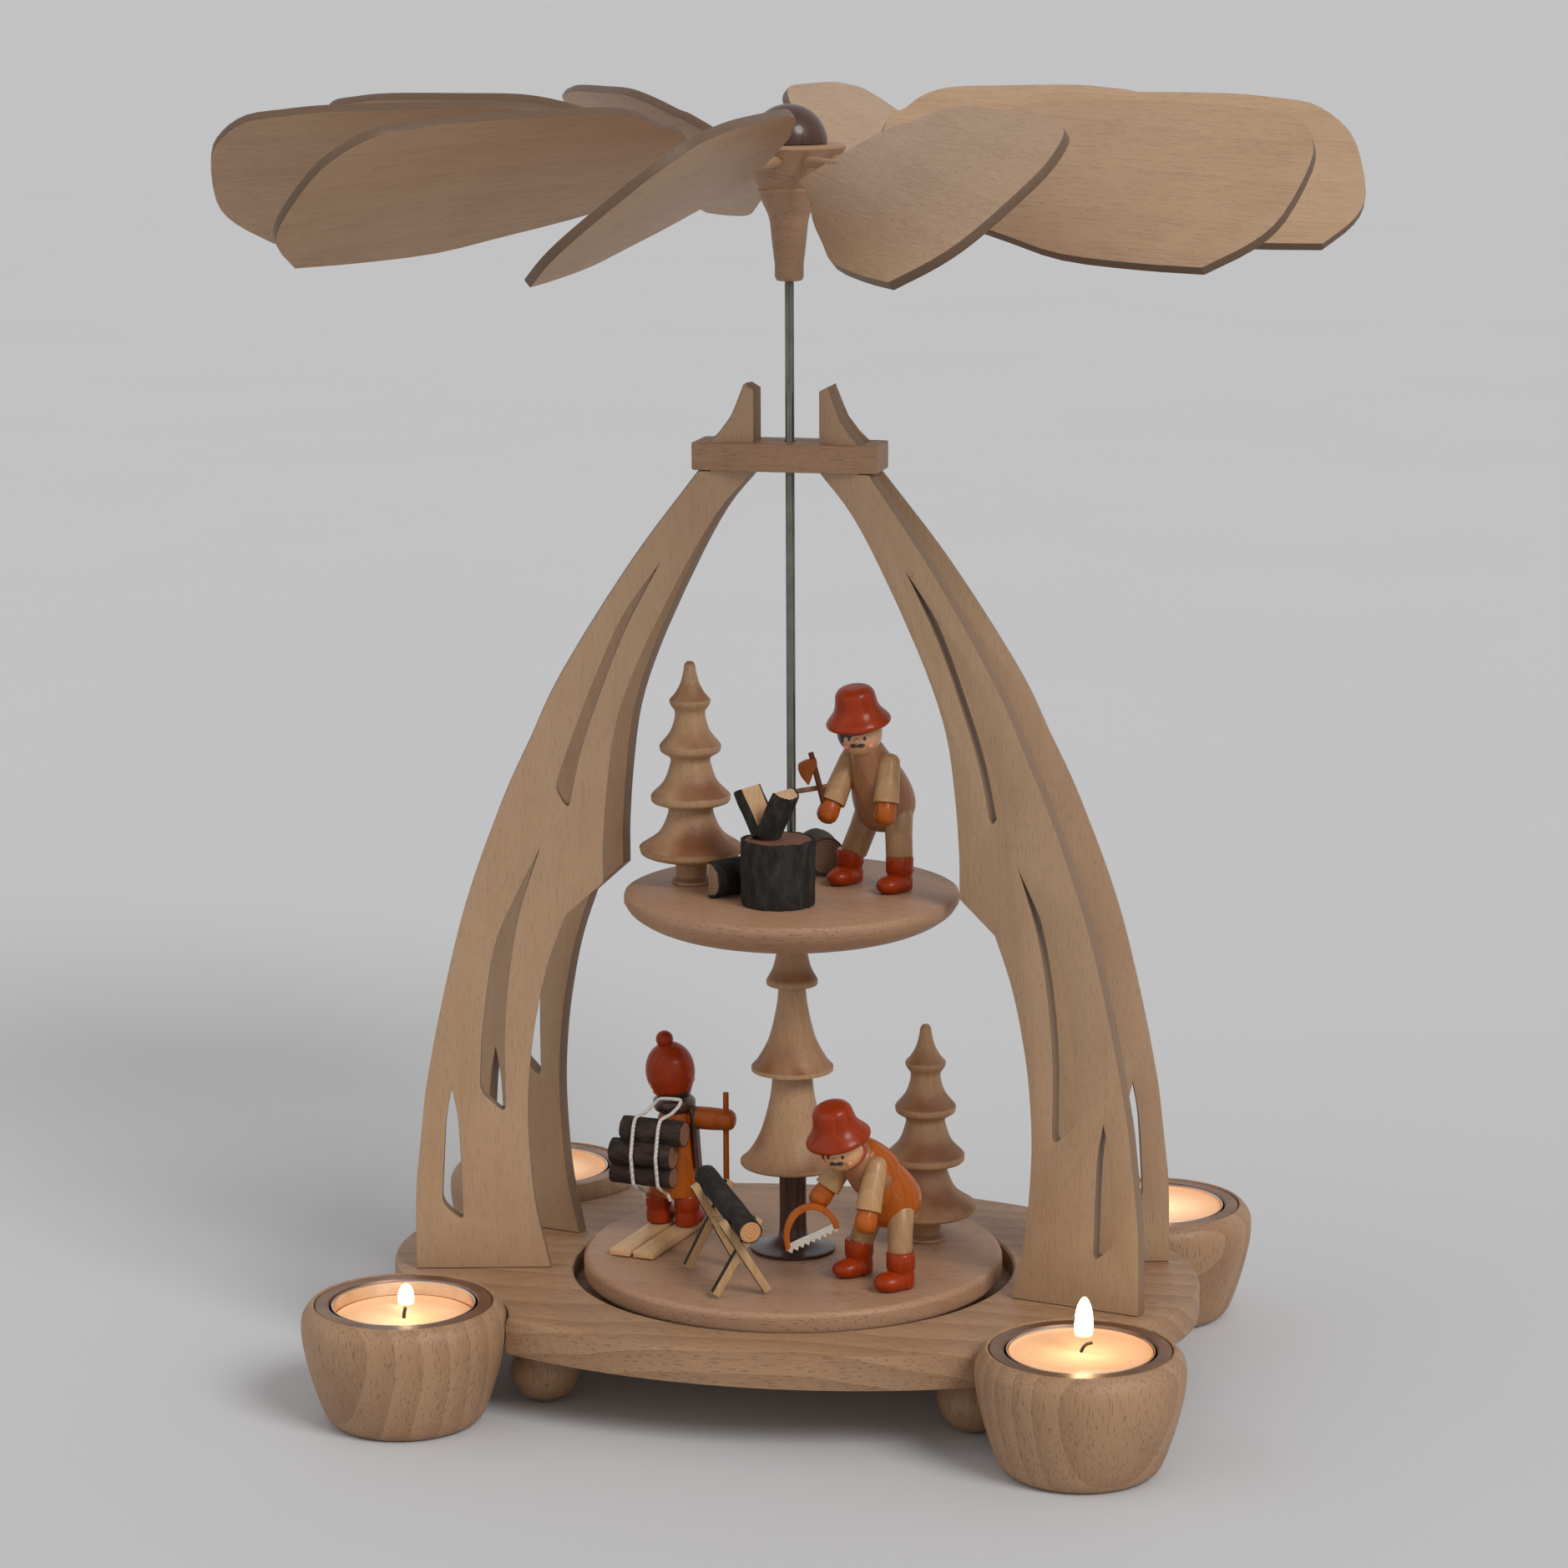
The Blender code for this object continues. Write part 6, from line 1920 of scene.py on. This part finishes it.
@dataclass
class Walker(Doll):
    """The doll on skis, with a stick and a bundle of logs tied on its back."""

    name: str = "walking_doll"
    spot: Spot = (-36.0, 10.5)
    heading: float = math.radians(80.3)
    stage: float = LOWER
    log_length: float = 18.0
    cord_radius: float = 0.5

    def build(self) -> None:
        """Builds and dresses the doll and its load."""
        doll = self.start()
        coat = ((3.0, 0.0), (6.6, 0.02), (7.0, 0.08), (6.7, 0.3), (5.9, 0.6), (5.0, 0.88), (4.2, 1.0))
        doll.form((0, 0, 10.0), (0, -0.5, 34.0), coat, AMBER)
        scarf = ((3.4, 0.0), (5.3, 0.12), (5.9, 0.4), (5.7, 0.75), (4.2, 1.0))
        doll.form((0.4, 0, 33.6), (0.4, 0, 38.4), scarf, SCARF)
        tail = [(-0.9, -5.9, 35.6), (-0.9, -6.6, 32.0), (-0.8, -7.1, 25.0), (-0.6, -7.5, 18.5)]
        for shift in (-0.8, 0.0, 0.8):
            doll.add(Bench.tube(Bench.flow([(x + shift, y, z) for x, y, z in tail]), 0.85), SCARF)
        doll.bead((2.9, 0.4, 42.6), (5.2, 5.0, 4.7), SKIN)
        doll.bead((8.2, 0.4, 42.2), (0.75, 0.75, 0.75), SKIN, 20)
        for side in (-1, 1):
            doll.bead((7.5, 0.4 + side * 1.8, 43.6), (0.5, 0.5, 0.6), BLACK, 16)
            doll.bead((6.7, 0.4 + side * 2.9, 41.4), (0.8, 1.0, 0.85), BLUSH, 20)
        doll.bead((0.2, 0.3, 40.2), (5.0, 5.2, 4.4), BLACK)
        cap = (
            (3.0, -0.02), (5.1, 0.0), (5.8, 0.1), (6.6, 0.28), (6.8, 0.45), (6.3, 0.65), (4.9, 0.83),
            (2.6, 0.96), (0.8, 1.0),
        )
        doll.form((0.4, 0.5, 39.2), (0.0, 1.8, 53.2), cap, ORANGE)
        doll.bead((-0.4, 2.4, 54.0), (2.4, 2.4, 2.4), ORANGE)
        for side in (-1, 1):
            doll.leg((-0.5, side * 3.9, 6.0), (-0.5, side * 3.9, 15.0), AMBER, 2.8)
            doll.boot(-0.3, side * 4.3, 1.9, 0.96)
            doll.add(Bench.timber((-29.0, side * 3.5, 1.0), (9.0, side * 3.5, 1.0), 6.0, 1.7, 0.3), SKI)
        sleeve = (
            (1.5, -0.02), (2.6, 0.04), (3.1, 0.2), (3.15, 0.5), (3.0, 0.72), (3.0, 0.86), (2.2, 0.96),
            (0.9, 1.0),
        )
        doll.form((0.4, -3.8, 32.4), (2.2, -17.6, 32.2), sleeve, AMBER, 32)
        doll.add(Bench.rod((2.0, -14.8, 0.2), (2.0, -14.8, 40.0), 0.85, 0.8), AMBER)
        doll.done("walker", slot="coat_orange")
        self.load()

    def load(self) -> None:
        """Builds and dresses the bundle of logs and its cord."""
        stack = (((-9.4, 30.2), 1.6, 3.5), ((-10.9, 24.0), 4.4, 3.5), ((-10.4, 17.9), 4.6, 3.0))
        bundle = self.start("back_logs")
        for seed, ((forward, up), slide, radius) in enumerate(stack):
            shapes = Firewood.whole(radius, self.log_length, 2.0 + seed, BARK_BACK, END_BACK)
            bundle.add_all(shapes, Matrix.Translation((forward, slide, up)) @ LAID)
        bundle.done("log_bundle", slot="bark")

        sides = []
        for left in (-1.2, 6.2):
            down = [(-6.9, left - 3.2, 37.0), (-8.7, left - 1.7, 35.2)]
            for ((forward, up), _, radius), turns in zip(stack, ((70, 40, 5), (25, 0, -20), (0, -35, -75))):
                clear = radius + self.cord_radius + 0.25
                for angle in map(math.radians, turns):
                    down.append((forward - clear * math.cos(angle), left, up + clear * math.sin(angle)))
            down += [(-8.9, left - 0.6, 12.6), (-8.2, left - 1.2, 10.6)]
            sides.append(down)
        neck = [(-5.0, -4.3, 38.4), (-6.2, -2.4, 38.9), (-6.5, -0.4, 38.9), (-6.4, 1.4, 38.5)]
        route = Bench.flow([*reversed(sides[0]), *neck, *sides[1]])
        cord = self.start("white_cord").add(Bench.tube(route, self.cord_radius), CORD)
        cord.done("bundle_cord", slot="white_cord")


@dataclass
class Sawhorse:
    """Two crossed pairs of timbers, a stretcher and the log that lies on them."""

    near: Spot = (-4.0, -43.9)
    far: Spot = (-17.0, -22.3)
    near_crossing: float = 12.4
    far_crossing: float = 14.2
    spread: float = 14.2
    timber: float = 2.2
    log_radius: float = 3.1

    def build(self) -> None:
        """Builds and dresses the sawhorse and its log."""
        near = Vector((*self.near, 0))
        far = Vector((*self.far, 0))
        along = (near - far).normalized()
        across = Vector((-along.y, along.x, 0))
        up = Vector((0, 0, 1))
        ground = (0, 0, LOWER + GAP)
        horse = Piece("trestle", "rotor", ground)
        crossings = []
        rests = []
        for middle, height in ((near, self.near_crossing), (far, self.far_crossing)):
            crossing = middle + up * height
            crossings.append(crossing)
            for side in (-1, 1):
                shift = along * (side * self.timber * 0.2)
                foot = middle + across * (side * self.spread / 2) + up * 0.9
                start = foot + shift
                end = crossing + (crossing - foot) * 0.72 + shift
                horse.add(Bench.timber(start, end, self.timber, self.timber), TIMBER)
                sides = (start.lerp(end, 0.01), start.lerp(end, 0.99))
                horse.add(Bench.timber(*sides, self.timber - 0.25, self.timber + 0.1, 0.04), DARK_SIDE)
            slope = math.atan2(height - 1.1, self.spread / 2)
            rests.append(crossing + up * ((self.log_radius + 1.3) / math.cos(slope)))
        horse.add(Bench.timber(*crossings, 1.8, 1.8), TIMBER)
        horse.done("sawhorse", slot="maple")
        run = (rests[0] - rests[1]).normalized()
        start = rests[1] - run * 6.0
        end = rests[0] + run * 8.5
        log_piece = Piece("trestle_log", "rotor", ground)
        log_piece.add_all(Firewood.whole(self.log_radius, (end - start).length, 6.2, BARK_UP, END_SAWN))
        log_piece.home = log_piece.home @ (Matrix.Translation((start + end) / 2 * MM) @ aimed(run))
        log_piece.done("sawn_log", slot="bark")


@dataclass
class Studio:
    """The pale floor, the soft lamps and the camera."""

    lens: float = 100.3
    spot: Spot = (0.2567, -1.1152, 0.3889)
    pitch: float = 0.1959
    roll: float = -0.0043
    floor_radius: float = 60.0
    daylight: float = 0.5
    backdrop: Colour = (0.6, 0.6, 0.61)

    def build(self) -> None:
        """Builds the studio."""
        scene = bpy.context.scene
        camera = bpy.data.cameras.new("camera")
        camera.lens = self.lens
        camera.sensor_width = 36
        camera.clip_start = 0.05
        camera.clip_end = 200
        turn = Matrix.Rotation(FRONT, 4, "Z") @ Matrix.Rotation(TURN / 4 - self.pitch, 4, "X")
        place = Matrix.Translation(self.spot) @ turn @ Matrix.Rotation(self.roll, 4, "Z")
        scene.camera = self.stand(camera, place)
        scene.view_settings.view_transform = "Standard"

        work = bmesh.new()
        bmesh.ops.create_circle(work, cap_ends=True, segments=96, radius=self.floor_radius)
        mesh = bpy.data.meshes.new("floor")
        work.to_mesh(mesh)
        work.free()
        mesh.materials.append(Paper().material())
        floor = self.stand(mesh, Matrix())

        for name, towards, strength, angle in (
            ("key", (0.8, -0.65, 0.85), 1.55, 24), ("fill", (-0.8, -0.6, 0.6), 0.3, 60),
        ):
            lamp = bpy.data.lights.new(name, "SUN")
            lamp.energy = strength
            lamp.angle = math.radians(angle)
            self.stand(lamp, aimed(Vector(towards)))
        self.sky()

    @staticmethod
    def stand(data: bpy.types.ID, place: Matrix) -> bpy.types.Object:
        """Puts one thing into the studio.

        Args:
            data: The camera, the lamp or the mesh, whose name the object takes.
            place: Where it stands and which way it faces.

        Returns:
            The object.
        """
        made = bpy.data.objects.new(data.name, data)
        made.matrix_world = place
        bpy.context.scene.collection.objects.link(made)
        return made

    def sky(self) -> None:
        """Lights the scene evenly, and shows a pale backdrop to the camera and in what shines."""
        world = bpy.data.worlds.new("studio")
        bpy.context.scene.world = world
        world.use_nodes = True
        tree = world.node_tree
        tree.nodes.clear()
        light, shown = (tree.nodes.new("ShaderNodeBackground") for _ in range(2))
        light.inputs["Strength"].default_value = self.daylight
        light.inputs["Color"].default_value = (1, 1, 1, 1)
        shown.inputs["Color"].default_value = (*self.backdrop, 1)
        path = tree.nodes.new("ShaderNodeLightPath")
        both, total = (tree.nodes.new("ShaderNodeMath") for _ in range(2))
        both.operation = total.operation = "MAXIMUM"
        mix = tree.nodes.new("ShaderNodeMixShader")
        end = tree.nodes.new("ShaderNodeOutputWorld")
        for source, sink in (
            (path.outputs["Is Glossy Ray"], both.inputs[0]),
            (path.outputs["Is Transmission Ray"], both.inputs[1]),
            (path.outputs["Is Camera Ray"], total.inputs[0]), (both.outputs[0], total.inputs[1]),
            (total.outputs[0], mix.inputs[0]), (light.outputs[0], mix.inputs[1]),
            (shown.outputs[0], mix.inputs[2]), (mix.outputs[0], end.inputs[0]),
        ):
            tree.links.new(source, sink)


def main() -> None:
    """Builds the sub-assemblies in order."""
    logging.basicConfig(level=logging.INFO, format="%(message)s")
    Studio().build()
    for assembly in (
        BasePlate(), CandleCups(), Frame(), Fan(), Stages(), Firewood(), Woodcutter(), Sawyer(), Walker(),
        Sawhorse(),
    ):
        assembly.build()
        log.info("%s is finished", type(assembly).__name__)


if __name__ == "__main__":
    main()
